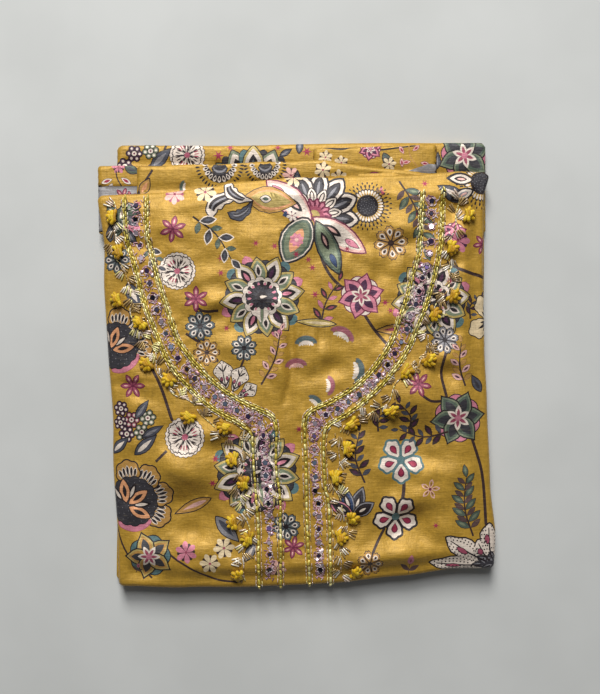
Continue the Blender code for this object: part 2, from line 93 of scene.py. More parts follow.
# How far an edge bows out at some shares of its length.
STRAIGHT = ((0.0, 0.0), (1.0, 0.0))
FRONT_BOWS = {
    "hem": ((0.0, 0.0), (0.18, 3.2), (0.35, 5.2), (0.56, 5.4), (0.75, 2.6), (0.9, -1.0), (1.0, 0.0)),
    "right": ((0.0, 0.0), (0.08, 1.4), (0.22, -2.0), (0.42, -3.6), (0.56, -5.0), (0.78, -5.2), (0.93, -4.6),
              (1.0, 0.0)),
    "neck": ((0.0, 0.0), (0.18, -1.0), (0.27, 1.2), (0.38, 4.0), (0.5, 4.6), (0.63, 3.0), (0.8, 1.4),
             (0.93, 2.2), (1.0, 0.0)),
    "left": ((0.0, 0.0), (0.16, -1.2), (0.3, -0.6), (0.44, -2.4), (0.6, -1.4), (0.76, -1.0), (0.88, -3.0),
             (1.0, 0.0)),
}
BACK_BOWS = {"neck": ((0.0, 0.0), (0.2, 3.0), (0.38, 6.6), (0.54, 9.4), (0.6, 7.2), (0.72, 4.4), (0.86, 2.2),
                      (1.0, 0.0))}
RIGHT_BOWS = {"neck": ((0.0, 0.0), (0.4, -0.6), (0.8, 0.6), (1.0, 0.0))}
SALWAR_BOWS = {
    "neck": ((0.0, 0.0), (0.3, -0.8), (0.7, 0.6), (1.0, 0.0)),
    "right": ((0.0, 0.0), (0.4, -3.0), (0.8, -1.5), (1.0, 0.0)),
    "left": ((0.0, 0.0), (0.3, -1.5), (0.7, -2.0), (1.0, 0.0)),
    "hem": ((0.0, 0.0), (0.4, 4.0), (0.8, 1.0), (1.0, 0.0)),
}

# Large soft folds of the front, as its solid has them. Here and in the tables of creases below, a row has
# both ends of a fold's line, x and y, then its width and its height; a trough has a negative height.
FOLDS = (
    (-118, 60, -60, -34, 26, 0.9), (112, 96, 66, -10, 24, 1.1), (-52, 96, -40, 20, 30, -0.8),
    (0, 60, 4, -40, 24, 0.8), (40, 84, 30, 0, 26, -0.6), (-130, -76, -84, -58, 22, -0.9),
    (-8, -52, -2, -150, 22, -0.9), (92, -36, 126, -74, 24, 0.8), (-110, -120, -60, -104, 26, 0.7),
    (60, -132, 120, -118, 26, -0.7),
)

# ---------------- lines and heights


def unit(vectors):
    """The vectors' directions, as vectors with a length of 1."""
    return vectors / np.linalg.norm(vectors, axis=1)[:, None]


def left_of(ways):
    """The ways turned left by a quarter."""
    return np.column_stack((-ways[:, 1], ways[:, 0]))


def lengths_along(line):
    """How far each point of a line is along it."""
    return np.concatenate(([0.0], np.cumsum(np.linalg.norm(np.diff(line, axis=0), axis=1))))


def points_at(line, known, wanted):
    """The points of a line at the wanted values of what is known at each of its points, such as a length."""
    return np.column_stack([np.interp(wanted, known, line[:, axis]) for axis in range(line.shape[1])])


def smooth_between(low, high, value):
    """0 below low, 1 above high, and a soft rise between."""
    share = np.clip((value - low) / (high - low), 0.0, 1.0)
    return share * share * (3.0 - 2.0 * share)


def bow_at(table, share):
    """The bow at a share of an edge, by soft steps between the table's rows."""
    bow = np.zeros_like(share)
    for (start, first), (end, last) in zip(table[:-1], table[1:]):
        inside = (share >= start) & (share <= end)
        bow[inside] = (first + (last - first) * smooth_between(start, end, share))[inside]
    return bow


def edge_points(start, end, table, step, outward):
    """Points of one edge, a step apart, bowed to the side that outward (1 or -1) names."""
    start, end = np.array(start), np.array(end)
    along = end - start
    length = np.linalg.norm(along)
    shares = np.linspace(0.0, 1.0, max(2, round(length / step)) + 1)
    normal = np.array((along[1], -along[0])) / length * outward
    return start + shares[:, None] * along + bow_at(table, shares)[:, None] * normal


EDGE_STEP = 2.0          # between the points of an outline


def outline(corners, bows):
    """The closed outline of a four-sided piece, counter-clockwise from its hem left corner."""
    hem_left, hem_right, neck_right, neck_left = corners
    sides = (("hem", hem_left, hem_right, 1), ("right", hem_right, neck_right, 1),
             ("neck", neck_left, neck_right, -1), ("left", hem_left, neck_left, -1))
    hem, right, neck, left = (edge_points(start, end, bows.get(side, STRAIGHT), EDGE_STEP, outward)
                              for side, start, end, outward in sides)
    return np.concatenate((hem[:-1], right[:-1], neck[::-1][:-1], left[::-1][:-1]))


def outward_normals(loop, soften):
    """Sideways directions out of a counter-clockwise loop, softened round its corners."""
    tangent = unit(np.roll(loop, -1, axis=0) - np.roll(loop, 1, axis=0))
    for _ in range(soften):
        tangent = unit(tangent + 0.5 * (np.roll(tangent, 1, axis=0) + np.roll(tangent, -1, axis=0)))
    return -left_of(tangent)


CHUNK = 2000             # so many places are worked on at a time


def nearest_on(loop, places):
    """Each place's closest point of a closed loop: the side's number, the share along it, and the gap."""
    along = np.roll(loop, -1, axis=0) - loop
    square = np.maximum((along ** 2).sum(axis=1), 1e-9)
    found = []
    for chunk in np.array_split(places, max(1, len(places) // CHUNK)):
        from_start = chunk[:, None, :] - loop[None]
        share = np.clip((from_start * along[None]).sum(axis=2) / square, 0.0, 1.0)
        gap = from_start - share[..., None] * along[None]
        side = (gap ** 2).sum(axis=2).argmin(axis=1)
        each = np.arange(len(chunk))
        found.append((side, share[each, side], gap[each, side]))
    return [np.concatenate(part) for part in zip(*found)]


def gap_to(places, loop):
    """How far each place is from a closed loop."""
    return np.linalg.norm(nearest_on(loop, places)[2], axis=1)


def moved_in(loop, distance):
    """A loop moved in by a distance that may differ from point to point, and which points it keeps.

    Points that would cross over each other inside a corner are left out.
    """
    inner = loop - outward_normals(loop, 0) * distance[:, None]
    kept = gap_to(inner, loop) > distance - 0.12
    return inner[kept], kept


def ridge(places, folds):
    """Heights that soft folds add at each place: full in the middle of each, fading to its ends."""
    total = np.zeros(len(places))
    for start_x, start_y, end_x, end_y, width, height in folds:
        start = np.array((start_x, start_y), float)
        along = np.array((end_x, end_y), float) - start
        share = np.clip(((places - start) @ along) / (along @ along), 0.0, 1.0)
        away = np.linalg.norm(places - start - share[:, None] * along, axis=1)
        total += height * np.exp(-(2.2 * away / width) ** 2)
    return total


def roll(places, rolls):
    """Heights of soft rolls of cloth: each falls to the right of its run, steepest on it, and fades."""
    total = np.zeros(len(places))
    for x, y, run, long, wide, fall in rolls:
        run = math.radians(run)
        way, left = np.array((math.cos(run), math.sin(run))), np.array((-math.sin(run), math.cos(run)))
        across = (places - (x, y)) @ left / wide
        total += fall * across * np.exp(-across ** 2 - ((places - (x, y)) @ way / long) ** 2)
    return total


def crown_share(places):
    """0 at the edge of the packet, 1 in its middle: a low dome with full shoulders."""
    across = 1.0 - np.abs(places[:, 0] / 148.0) ** np.where(places[:, 0] > 0, 7.5, 4.6)
    along = 1.0 - np.abs((places[:, 1] + 10.0) / 158.0) ** np.where(places[:, 1] > -10.0, 9.0, 5.0)
    return np.clip(across, 0.0, 1.0) * np.clip(along, 0.0, 1.0)


def unevenness(places, size):
    """A low, smooth unevenness of the lie of the cloth, from -1 to 1."""
    x, y = places[:, 0] / size, places[:, 1] / size
    return (np.sin(x * 1.1 + 0.7 * np.sin(y * 0.9 + 1.0)) * np.sin(y * 1.3 + 0.8 * np.sin(x * 1.2))
            + 0.5 * np.sin(x * 2.3 + y * 1.1 + 2.0) * np.sin(y * 2.1 - x * 0.7)) / 1.5


def back_height(places):
    """Top of the kameez back's fold, which sinks onto the salwar cloth at its right end."""
    return BACK_TOP - (FOLD + 0.1) * smooth_between(110.0, 134.0, places[:, 0])


def support_height(places):
    """What the curled edge of the front comes down to."""
    over_left = smooth_between(86.0, 93.0, places[:, 1])
    over_back = over_left * smooth_between(-138.0, -129.0, places[:, 0])
    base = FRONT_LIP + (SLEEVE_TOP + GAP - FRONT_LIP) * over_left
    return base + (back_height(places) + 2 * GAP - base) * over_back


# ---------------- cloth lying flat with its edges curled

CORNER_TURN = 0.5        # a bend of the seat, in radians, that counts as a corner
CURL = 0.5               # how far an edge curls sideways, for each unit that it drops


class LaidCloth:
    """A piece of cloth that lies at a height and curls round its edges, down (or up, with turn -1).

    Places on it are given on the flat cut, as seen from above; beyond the seat, where the curl
    begins, they run on down the curl by the length of cloth.
    """

    def __init__(self, corners, bows, height, lip, turn=1, reach=None, wall=WALL):
        edge = outline(corners, bows)
        low = lip(edge)
        rise = np.abs(height(edge, np.zeros(len(edge))) - low)
        self.seat, kept = moved_in(edge, CURL * rise if reach is None else np.full(len(edge), reach))
        self.height = height
        self.turn = turn
        self.wall = wall
        self.lip = low[kept]
        self.top = height(self.seat, np.zeros(len(self.seat)))
        rise = rise[kept]
        self.reach = CURL * rise if reach is None else np.full(len(rise), reach)
        self.drop = 0.75 * rise
        self.arc = 0.5 * math.pi * np.sqrt(0.5 * (self.reach ** 2 + self.drop ** 2))
        self.length = self.arc + rise - self.drop

    def nearest(self, places):
        """For each place: distance out of the seat (in is negative), direction out, and where along it."""
        side, share, gap = nearest_on(self.seat, places)
        along = np.roll(self.seat, -1, axis=0) - self.seat
        length = np.linalg.norm(gap, axis=1)
        inside = (gap * -left_of(along[side])).sum(axis=1) < 0
        way = np.where(length[:, None] > 1e-6, gap / np.maximum(length, 1e-6)[:, None],
                       outward_normals(self.seat, 0)[side])
        return np.where(inside, -length, length), way, side + share

    def place(self, places, depth=0.0):
        """Points in space for places on the cut, depth under the cloth's outer face."""
        out, way, where = self.nearest(places)
        reach, drop, arc, lip, top = (
            np.interp(where, np.arange(len(values) + 1), np.append(values, values[0]))
            for values in (self.reach, self.drop, self.arc, self.lip, self.top)
        )
        flat = self.height(places, -np.minimum(out, 0.0)) - self.turn * depth
        angle = np.clip(out / arc, 0.0, 1.0) * math.pi / 2
        sideways = np.maximum(reach - depth, 0.05) * np.sin(angle)
        down = np.maximum(drop - 0.8 * depth, 0.05) * (1 - np.cos(angle))
        curl = top - self.turn * (depth + down) - self.turn * np.maximum(out - arc, 0.0)
        curl = np.where(self.turn > 0, np.maximum(curl, lip), np.minimum(curl, lip))
        seat = places - way * np.maximum(out, 0.0)[:, None]
        xy = np.where((out > 0)[:, None], seat + way * sideways[:, None], places)
        return np.column_stack((xy, np.where(out > 0, curl, flat)))

    def cut(self):
        """The outline of the flat cut: the seat moved out by the length of each curl."""
        way = outward_normals(self.seat, 0)
        around, count = [], len(self.seat)
        for place in range(count):
            before = complex(*(self.seat[place] - self.seat[place - 1]))
            after = complex(*(self.seat[(place + 1) % count] - self.seat[place]))
            turn = np.angle(after / before)
            if turn > CORNER_TURN:
                start = np.angle(before) - math.pi / 2
                for angle in np.linspace(start, start + turn, 8):
                    spoke = np.array((math.cos(angle), math.sin(angle)))
                    around.append(self.seat[place] + self.length[place] * spoke)
            else:
                around.append(self.seat[place] + self.length[place] * way[place])
        return np.array(around)


# ---------------- meshes


def new_mesh(name, points, faces, material, colours=None, smooth=True, layer="print"):
    """One object from points in millimetres, with a colour for each face."""
    data = bpy.data.meshes.new(name)
    data.from_pydata([tuple(point) for point in np.asarray(points) * METRE], [], faces)
    if smooth:
        data.shade_smooth()
    if colours is not None:
        held = data.color_attributes.new(layer, "FLOAT_COLOR", "CORNER")
        flat = np.ones((len(data.loops), 4), np.float32)
        flat[:, :3] = np.repeat(np.asarray(colours), [len(face) for face in faces], axis=0)
        held.data.foreach_set("color", flat.ravel())
    data.materials.append(material)
    made = bpy.data.objects.new(name, data)
    bpy.context.collection.objects.link(made)
    return made


def side_faces(rows, count, outward=True):
    """Four-sided faces between rows of points, each row a closed ring of the same count."""
    faces = []
    for level in range(rows - 1):
        low, high = level * count, (level + 1) * count
        for place in range(count):
            after = (place + 1) % count
            face = [low + place, low + after, high + after, high + place]
            faces.append(face if outward else [face[0], face[3], face[2], face[1]])
    return faces


def boundary_loop(faces):
    """The ordered outer edge of a set of faces."""
    edges = {edge for face in faces for edge in zip(face, face[1:] + face[:1])}
    after = {first: second for first, second in edges if (second, first) not in edges}
    loop = [min(after)]
    while after[loop[-1]] != loop[0]:
        loop.append(after[loop[-1]])
    return loop


def triangulate(shapes, loose):
    """Triangles of the area inside the first shape, cut along every shape's edge.

    Gives the points, the triangles, and for each triangle the last shape that it lies in.
    """
    points, faces = [], []
    for shape in shapes:
        faces.append(list(range(len(points), len(points) + len(shape))))
        points.extend(Vector(point) for point in shape)
    points.extend(Vector(point) for point in loose)
    made = delaunay_2d_cdt(points, [], faces, 1, 1e-4, True)
    placed, triangles, origins = made[0], made[2], made[5]
    kept = [(list(face), max(origin)) for face, origin in zip(triangles, origins) if 0 in origin]
    return np.array([tuple(point) for point in placed]), [k[0] for k in kept], [k[1] for k in kept]


def grid_over(shape, step):
    """Places on an even slanting grid over a shape's box, none of them close to its edge."""
    low, high = np.min(shape, axis=0), np.max(shape, axis=0)
    columns = np.arange(low[0], high[0], step)
    rows = np.arange(low[1], high[1], step * 0.87)
    places = np.array([(column + (step / 2 if index % 2 else 0), row)
                       for index, row in enumerate(rows) for column in columns])
    return places[gap_to(places, shape) > 0.3 * step]


INNER_STEP = 7.0         # between the points of a cloth's inner face


def printed_cloth(name, cloth, pattern, material, step=2.4):
    """A closed thin shell: the printed outer face, the plain inner face and the narrow edge between."""
    cut = cloth.cut()
    shapes = [cut] + [np.column_stack((shape.real, shape.imag)) for shape, _ in pattern.shapes]
    flat, faces, tops = triangulate(shapes, grid_over(cut, step))
    colours = [INKS[pattern.shapes[top - 1][1] if top else "ground"] for top in tops]
    loop = boundary_loop(faces)
    under_flat, under_faces, _ = triangulate([flat[loop]], grid_over(cut, INNER_STEP))
    under_loop = boundary_loop(under_faces)
    if len(loop) != len(under_loop):
        raise ValueError(f"{name}: {len(loop)} and {len(under_loop)} points round its two faces")
    count = len(flat)
    start = min(range(len(loop)), key=lambda k: np.abs(under_flat[under_loop[k]] - flat[loop[0]]).sum())
    under_loop = [count + corner for corner in under_loop[start:] + under_loop[:start]]
    inner_faces = [[count + corner for corner in face[::-1]] for face in under_faces]
    sides = [[loop[place - 1], under_loop[place - 1], under_loop[place], loop[place]]
             for place in range(len(loop))]
    all_faces = [face if cloth.turn > 0 else face[::-1] for face in faces + inner_faces + sides]
    colours += [INKS["ground"]] * (len(inner_faces) + len(sides))
    points = np.concatenate((cloth.place(flat), cloth.place(under_flat, cloth.wall)))
    return new_mesh(name, points, all_faces, material, colours)


# ---------------- print colours

# Shades on the usual 0 to 255 scale, as a shade card gives them.
SHADE_CARD = {
    "ground": (185, 145, 52), "ink": (40, 32, 36), "bark": (62, 44, 42), "slate": (76, 78, 90),
    "charcoal": (58, 56, 62), "stone": (136, 134, 140), "pewter": (92, 102, 106), "sage": (124, 134, 110),
    "moss": (84, 98, 86), "teal": (88, 118, 122), "navy": (46, 66, 104), "cream": (228, 206, 168),
    "bone": (228, 214, 202), "straw": (186, 164, 98), "tan": (184, 140, 74), "peach": (224, 160, 116),
    "blush": (226, 178, 170), "pink": (206, 128, 148), "rose": (160, 78, 100), "wine": (112, 40, 68),
    "plum": (78, 42, 72), "ruby": (160, 50, 78), "umber": (92, 70, 68), "haze": (152, 122, 74),
    "dusk": (158, 92, 104), "mist": (88, 104, 106), "selvedge": (158, 156, 160),
}


def linear(shade):
    """A shade card's colour as Blender's linear one."""
    share = np.array(shade) / 255.0
    return np.where(share <= 0.04045, share / 12.92, ((share + 0.055) / 1.055) ** 2.4)


INKS = {name: linear(shade) for name, shade in SHADE_CARD.items()}
INK_LINE = 0.74          # half of a drawn outline

# ---------------- drawing with flat shapes
# A shape is a closed line of complex numbers, x + y j, in millimetres on the cloth.


def disc(radius, sides):
    """A round shape."""
    return radius * np.exp(1j * TAU * np.arange(sides) / sides)


def petal(start, end, width, belly, base, tip, samples=8):
    """A petal along +x, widest at the share belly; base and tip are 1 for pointed ends, 0.5 for round."""
    share = 0.5 - 0.5 * np.cos(math.pi * np.arange(samples + 1) / samples)
    warped = share ** (math.log(0.5) / math.log(belly))
    half = 0.5 * width * np.sin(math.pi * warped) ** np.where(share < belly, base, tip)
    half[0] = half[-1] = 0.0
    spine = start + (end - start) * share
    return np.concatenate((spine - 1j * half, (spine + 1j * half)[::-1][1:-1]))


def notched(start, end, width, depth, teeth=3):
    """A petal that widens to a toothed end."""
    side = np.array((0.0, 0.35, 0.7, 0.9))
    spread = 0.5 * width * np.array((0.10, 0.50, 0.86, 1.0))
    spine = start + (end - start) * side
    across = np.linspace(-1.0, 1.0, 4 * teeth + 1)
    rim = end - depth * (0.9 * across ** 2 + 0.5 * (1 - np.cos(TAU * teeth * (across + 1) / 2)) * 0.5)
    front = rim + 0.5j * width * across
    return np.concatenate((spine - 1j * spread, front, (spine + 1j * spread)[::-1]))


def frilled(start, end, width):
    """A plump petal with a softly waved rim."""
    shape = petal(start, end, width, 0.62, 0.85, 0.5, 16)
    middle = start + 0.58 * (end - start)
    angle = np.angle(shape - middle)
    return middle + (shape - middle) * (1 + 0.09 * np.cos(6 * angle) * (np.abs(angle) < 1.6))


def scalloped(radius, lobes, depth, per_lobe=6):
    """A round shape with a lobed edge."""
    angle = TAU * np.arange(lobes * per_lobe) / (lobes * per_lobe)
    return radius * (1 - depth + depth * np.abs(np.cos(lobes * angle / 2)) ** 0.6) * np.exp(1j * angle)


def pointed(radius, inner, points):
    """A star with straight sides."""
    angle = math.pi * np.arange(2 * points) / points
    return np.where(np.arange(2 * points) % 2 == 0, radius, inner) * np.exp(1j * angle)


def crescent(radius, start, end, thick, teeth=0):
    """A band round the origin from one angle to another, thickest in the middle, toothed inside."""
    angle = np.linspace(start, end, max(9, 4 * teeth + 1))
    share = np.linspace(0.0, 1.0, len(angle))
    body = thick * np.sin(math.pi * share) ** 0.45
    tooth = 0.22 * thick * np.cos(TAU * teeth * share) if teeth else 0.0
    outer = (radius + body / 2) * np.exp(1j * angle)
    inner = (radius - body / 2 + tooth * (np.sin(math.pi * share) > 0.3)) * np.exp(1j * angle)
    return np.concatenate((outer, inner[::-1]))


def heart(size):
    """A heart with its point along +x."""
    angle = TAU * np.arange(20) / 20
    across = 16 * np.sin(angle) ** 3
    along = 13 * np.cos(angle) - 5 * np.cos(2 * angle) - 2 * np.cos(3 * angle) - np.cos(4 * angle)
    return size * (-along + 1j * across) / 17


def smooth_line(points, per_span):
    """A smooth line through a few complex points."""
    points = list(points)
    padded = [2 * points[0] - points[1]] + points + [2 * points[-1] - points[-2]]
    fine = []
    for p0, p1, p2, p3 in zip(padded, padded[1:], padded[2:], padded[3:]):
        for step in range(per_span):
            t = step / per_span
            fine.append(0.5 * (2 * p1 + (p2 - p0) * t + (2 * p0 - 5 * p1 + 4 * p2 - p3) * t * t
                               + (3 * p1 - p0 - 3 * p2 + p3) * t ** 3))
    return np.array(fine + [points[-1]])


def directions(line):
    """Unit directions along a line."""
    ahead = np.gradient(line)
    return ahead / np.maximum(np.abs(ahead), 1e-9)


def stroke(line, width, end_width=None):
    """A drawn line of some width, which may change evenly to another at its end."""
    line = np.asarray(line)
    widths = np.linspace(width, width if end_width is None else end_width, len(line))
    side = 1j * directions(line) * widths / 2
    return np.concatenate((line - side, (line + side)[::-1]))


def counter_clockwise(shape):
    """The shape with its inside on its left."""
    area = (shape.real * np.roll(shape, -1).imag - np.roll(shape, -1).real * shape.imag).sum()
    return shape if area > 0 else shape[::-1]


def grown(shape, amount):
    """A shape moved out (or in) all round."""
    shape = counter_clockwise(shape)
    before = shape - np.roll(shape, 1)
    after = np.roll(shape, -1) - shape
    before = before / np.maximum(np.abs(before), 1e-9)
    after = after / np.maximum(np.abs(after), 1e-9)
    bisector = before + after
    bisector = bisector / np.maximum(np.abs(bisector), 1e-9)
    cosine = np.clip((bisector * np.conj(after)).real, 0.45, 1.0)
    return shape - 1j * bisector * amount / cosine


class Print:
    """Shapes in the order that they are printed, each a closed line and the name of its ink."""

    def __init__(self):
        self.shapes = []

    def spot(self, x, y, turn=0.0, flip=False):
        """Somewhere to draw a motif: its middle, its turn in degrees, and whether it is a mirror image."""
        return Spot(self, complex(x, y), math.radians(turn), flip)


class Spot:
    """A place on the print, turned, to draw on."""

    def __init__(self, sheet, middle, turn, flip):
        self.sheet, self.middle, self.turn, self.flip = sheet, middle, turn, flip

    def within(self, x, y, turn=0.0):
        """A spot inside this one."""
        inner = complex(x, y)
        if self.flip:
            inner, turn = inner.conjugate(), -turn
        middle = self.middle + inner * np.exp(1j * self.turn)
        return Spot(self.sheet, middle, self.turn + math.radians(turn), self.flip)

    def around(self, count, turn=0.0):
        """Spots at this one's middle, turned evenly all round."""
        return [self.within(0, 0, turn + 360.0 * place / count) for place in range(count)]

    def lay(self, shape, ink, line=0.0, line_ink="ink"):
        """Print a shape, over a slightly larger one in the line's ink where it has an outline."""
        if line:
            self.lay(grown(shape, line), line_ink)
        placed = counter_clockwise(np.conj(shape) if self.flip else shape)
        self.sheet.shapes.append((self.middle + placed * np.exp(1j * self.turn), ink))


# ---------------- motifs


def eye_petal(spot, start, end, width, rim, body, eye, heartwood):
    """A pointed petal with a rim, a body and a drop-shaped eye with a streak in it."""
    long = end - start
    spot.lay(petal(start, end, width, 0.5, 0.75, 0.9), rim, INK_LINE)
    spot.lay(petal(start + 0.05 * long, end - 0.09 * long, width * 0.82, 0.5, 0.75, 0.9), body)
    spot.lay(petal(start + 0.22 * long, end - 0.25 * long, width * 0.46, 0.5, 0.8, 0.9), eye)
    spot.lay(petal(start + 0.30 * long, end - 0.38 * long, width * 0.20, 0.45, 0.7, 0.8), heartwood)


def green_petal(spot, start, end, width):
    """A grey-green petal with a pale ring round a dark eye."""
    long = end - start
    spot.lay(petal(start, end, width, 0.5, 0.75, 0.9), "straw", INK_LINE)
    spot.lay(petal(start, end - 0.10 * long, width * 0.80, 0.5, 0.75, 0.9), "sage")
    spot.lay(petal(start + 0.30 * long, end - 0.22 * long, width * 0.40, 0.5, 0.9, 0.9), "bone")
    spot.lay(petal(start + 0.37 * long, end - 0.30 * long, width * 0.22, 0.5, 0.9, 0.9), "ink")


def great_flower(spot, petals=12, radius=31.0):
    """A large open flower: eyed petals in two kinds, a pale ring, a fringed ring and a dark ragged middle."""
    step = 360.0 / petals
    for place in range(petals):
        between = spot.within(0, 0, step * (place + 0.5))
        if place % 3 == 0:
            between.lay(petal(18, radius + 1.6, 8, 0.7, 0.9, 0.9), "pink", 0.3, "rose")
        elif place % 3 == 1:
            between.lay(petal(18, radius + 0.8, 9, 0.75, 0.9, 0.55), "teal")
        between.lay(petal(12, radius - 4.0, 12, 0.72, 0.9, 0.6), "charcoal", INK_LINE)
        between.lay(petal(15, radius - 6.4, 5.5, 0.72, 0.9, 0.6), "slate")
    for place in range(petals):
        leaf = spot.within(0, 0, step * place)
        if place % 2 == 0:
            eye_petal(leaf, 8, radius + 0.4, 13.4, "straw", "bone", "ink", "plum" if place % 4 else "pink")
        else:
            green_petal(leaf, 8, radius - 1.6, 12.6)
    spot.lay(scalloped(15.0, petals, 0.12), "bone", 0.4)
    spot.lay(scalloped(12.6, 13, 0.16), "ink")
    for place in range(13):
        tuft = spot.within(0, 0, 360.0 * (place + 0.5) / 13)
        tuft.lay(petal(8.0, 12.2, 2.8, 0.62, 0.7, 0.55), "bone" if place % 3 else "slate")
        tuft.lay(petal(7.0, 11.2, 1.8, 0.62, 0.7, 0.55), "pink")
    spot.within(0, 0, -98).lay(petal(1, 19, 9.0, 0.6, 0.7, 0.6), "bone")
    spot.within(0, 0, -98).lay(petal(3, 19, 2.0, 0.6, 0.7, 0.6), "sage", 0.25)
    spot.lay(scalloped(8.8, 11, 0.22), "charcoal", 0.4)
    for ray in spot.around(11):
        ray.lay(petal(4.4, 8.0, 0.9, 0.6, 0.7, 0.6, 5), "ink")
    spot.lay(scalloped(4.4, 7, 0.2), "ink")
    spot.lay(petal(-1.6, 3.8, 2.2, 0.35, 0.6, 0.9), "bone")


# The inks of a star flower: body, heart, the petals behind, edge and outline.
STAR_TINTS = {
    "pink": ("pink", "plum", "bone", "pink", "wine"),
    "green": ("moss", "charcoal", "pink", "sage", "ink"),
    "gold": ("tan", "charcoal", "teal", "straw", "ink"),
}


def star_flower(spot, tint, radius, petals=6):
    """A flower of broad petals with dark hearts, over others that show between, and a small star."""
    body, heartwood, backing, edge, line_ink = STAR_TINTS[tint]
    step = 360.0 / petals
    for place in range(petals):
        behind = spot.within(0, 0, step * (place + 0.5))
        behind.lay(petal(3, radius * 0.88, radius * 0.66, 0.68, 0.9, 0.6), backing, INK_LINE, line_ink)
    for place in range(petals):
        leaf = spot.within(0, 0, step * place)
        leaf.lay(petal(0, radius, radius * 0.68, 0.46, 0.75, 1.15), edge, 1.3 * INK_LINE, line_ink)
        leaf.lay(petal(0, radius * 0.92, radius * 0.56, 0.46, 0.75, 1.1), body)
        leaf.lay(petal(radius * 0.1, radius * 0.78, radius * 0.34, 0.50, 0.8, 0.9), heartwood)
    small_star(spot, radius * 0.48)


def small_star(spot, radius):
    """The pale-edged star in the middle of a flower."""
    for leaf in spot.around(6, 20):
        leaf.lay(petal(0, radius, radius * 0.50, 0.5, 0.8, 0.9), "bone")
    for leaf in spot.around(6, 20):
        leaf.lay(petal(0, radius * 0.74, radius * 0.26, 0.5, 0.8, 0.9), "rose")
    spot.lay(disc(radius * 0.24, 10), "pink")


def lily(spot, radius=9.5):
    """A plain six-petalled star, each petal with a pale streak."""
    for leaf in spot.around(6):
        leaf.lay(petal(0, radius, radius * 0.44, 0.58, 0.7, 0.8), "wine", 0.15, "wine")
    for leaf in spot.around(6):
        leaf.lay(petal(0.5, radius * 0.92, radius * 0.30, 0.58, 0.7, 0.8), "rose")
        leaf.lay(petal(radius * 0.36, radius * 0.74, radius * 0.11, 0.5, 0.7, 0.7), "blush")
    spot.lay(disc(radius * 0.13, 8), "wine")


def spark(spot, radius=3.2):
    """A tiny star."""
    spot.lay(pointed(1.2 * radius, radius * 0.40, 6), "ruby")


def pinwheel(spot, body="pewter", line_ink="ink", petals=8, radius=10.4):
    """A flower of toothed wedges, each with a pale-ringed drop."""
    wide = radius * 4.6 / petals
    for leaf in spot.around(petals):
        leaf.lay(notched(radius * 0.16, radius, wide, radius * 0.17), body, INK_LINE * 0.8, line_ink)
        leaf.lay(petal(radius * 0.38, radius * 0.84, wide * 0.56, 0.6, 0.9, 0.6), "bone")
        leaf.lay(petal(radius * 0.48, radius * 0.76, wide * 0.28, 0.6, 0.9, 0.6), line_ink)
    spot.lay(disc(radius * 0.19, 10), line_ink)


def lace_round(spot, radius=13.6):
    """A pale round flower with a frilled edge and ragged drawn petals."""
    petals = 9
    spot.lay(scalloped(radius, 24, 0.09, 5), "bone", 0.45, "bark")
    for place in range(petals):
        leaf = spot.within(0, 0, 360.0 * place / petals + 7)
        wide = radius * 5.8 / petals
        reach = radius * (0.92 if place % 2 else 0.86)
        leaf.lay(notched(radius * 0.16, reach + 0.5, wide, radius * 0.12, 3), "ink")
        leaf.lay(notched(radius * 0.20, reach - 0.2, wide * 0.84, radius * 0.12, 3), "bone")
        for lean in (-15, 0, 15):
            leaf.within(0, 0, lean).lay(petal(radius * 0.40, radius * 0.68, 0.85, 0.5, 0.5, 0.5),
                                        "ruby" if place % 3 == 0 else "bark")
    for place in range(7):
        spot.within(0, 0, 51.4 * place + 30).lay(petal(1.2, radius * (0.52 if place % 2 else 0.4), 1.5,
                                                       0.6, 0.8, 0.7), "ink")
    spot.lay(scalloped(radius * 0.17, 6, 0.2), "rose")


def bold_five(spot, outline_ink, radius):
    """Five pale petals with cut ends and red hearts round a teal middle."""
    for line, drawn in ((1.6, outline_ink), (0.0, "bone")):
        for leaf in spot.around(5):
            shape = frilled(radius * 0.10, radius, radius * 0.66)
            leaf.lay(grown(shape, line) if line else shape, drawn)
    for leaf in spot.around(5):
        leaf.lay(petal(radius * 0.30, radius * 0.80, radius * 0.32, 0.62, 0.8, 0.6), "wine")
        leaf.lay(petal(radius * 0.36, radius * 0.74, radius * 0.20, 0.62, 0.8, 0.6), "ruby")
    spot.lay(disc(radius * 0.19, 12), "teal", 0.15)


def soft_flower(spot, body="blush", between="bark", radius=6.6):
    """A small flower without outlines, brown between its petals."""
    for leaf in spot.around(6, 30):
        leaf.lay(petal(0.8, radius * 0.84, radius * 0.40, 0.70, 0.8, 0.6), between)
    for leaf in spot.around(6):
        leaf.lay(petal(0, radius, radius * 0.50, 0.64, 0.7, 0.5), body)
    spot.lay(disc(radius * 0.13, 8), "rose")


def line_star(spot, radius=7.6):
    """A five-petalled star drawn in pale outline over the ground."""
    for leaf in spot.around(5):
        leaf.lay(petal(0, radius, radius * 0.44, 0.6, 0.8, 0.85), "blush")
    for leaf in spot.around(5):
        leaf.lay(petal(radius * 0.18, radius * 0.82, radius * 0.25, 0.6, 0.8, 0.85), "ground")
        leaf.lay(petal(radius * 0.26, radius * 0.62, radius * 0.10, 0.5, 0.8, 0.8), "wine")
    spot.lay(disc(radius * 0.15, 8), "wine")


def blossom(spot, body="plum", radius=4.9):
    """A little six-petalled blossom with dark rims and pale rings."""
    for leaf in spot.around(6):
        leaf.lay(disc(radius * 0.42, 9) + radius * 0.66, "ink")
    for leaf in spot.around(6):
        leaf.lay(disc(radius * 0.30, 8) + radius * 0.66, body)
        leaf.lay(disc(radius * 0.17, 7) + radius * 0.66, "bone")
    spot.lay(disc(radius * 0.30, 10), "bone")
    spot.lay(disc(radius * 0.13, 7), "wine")


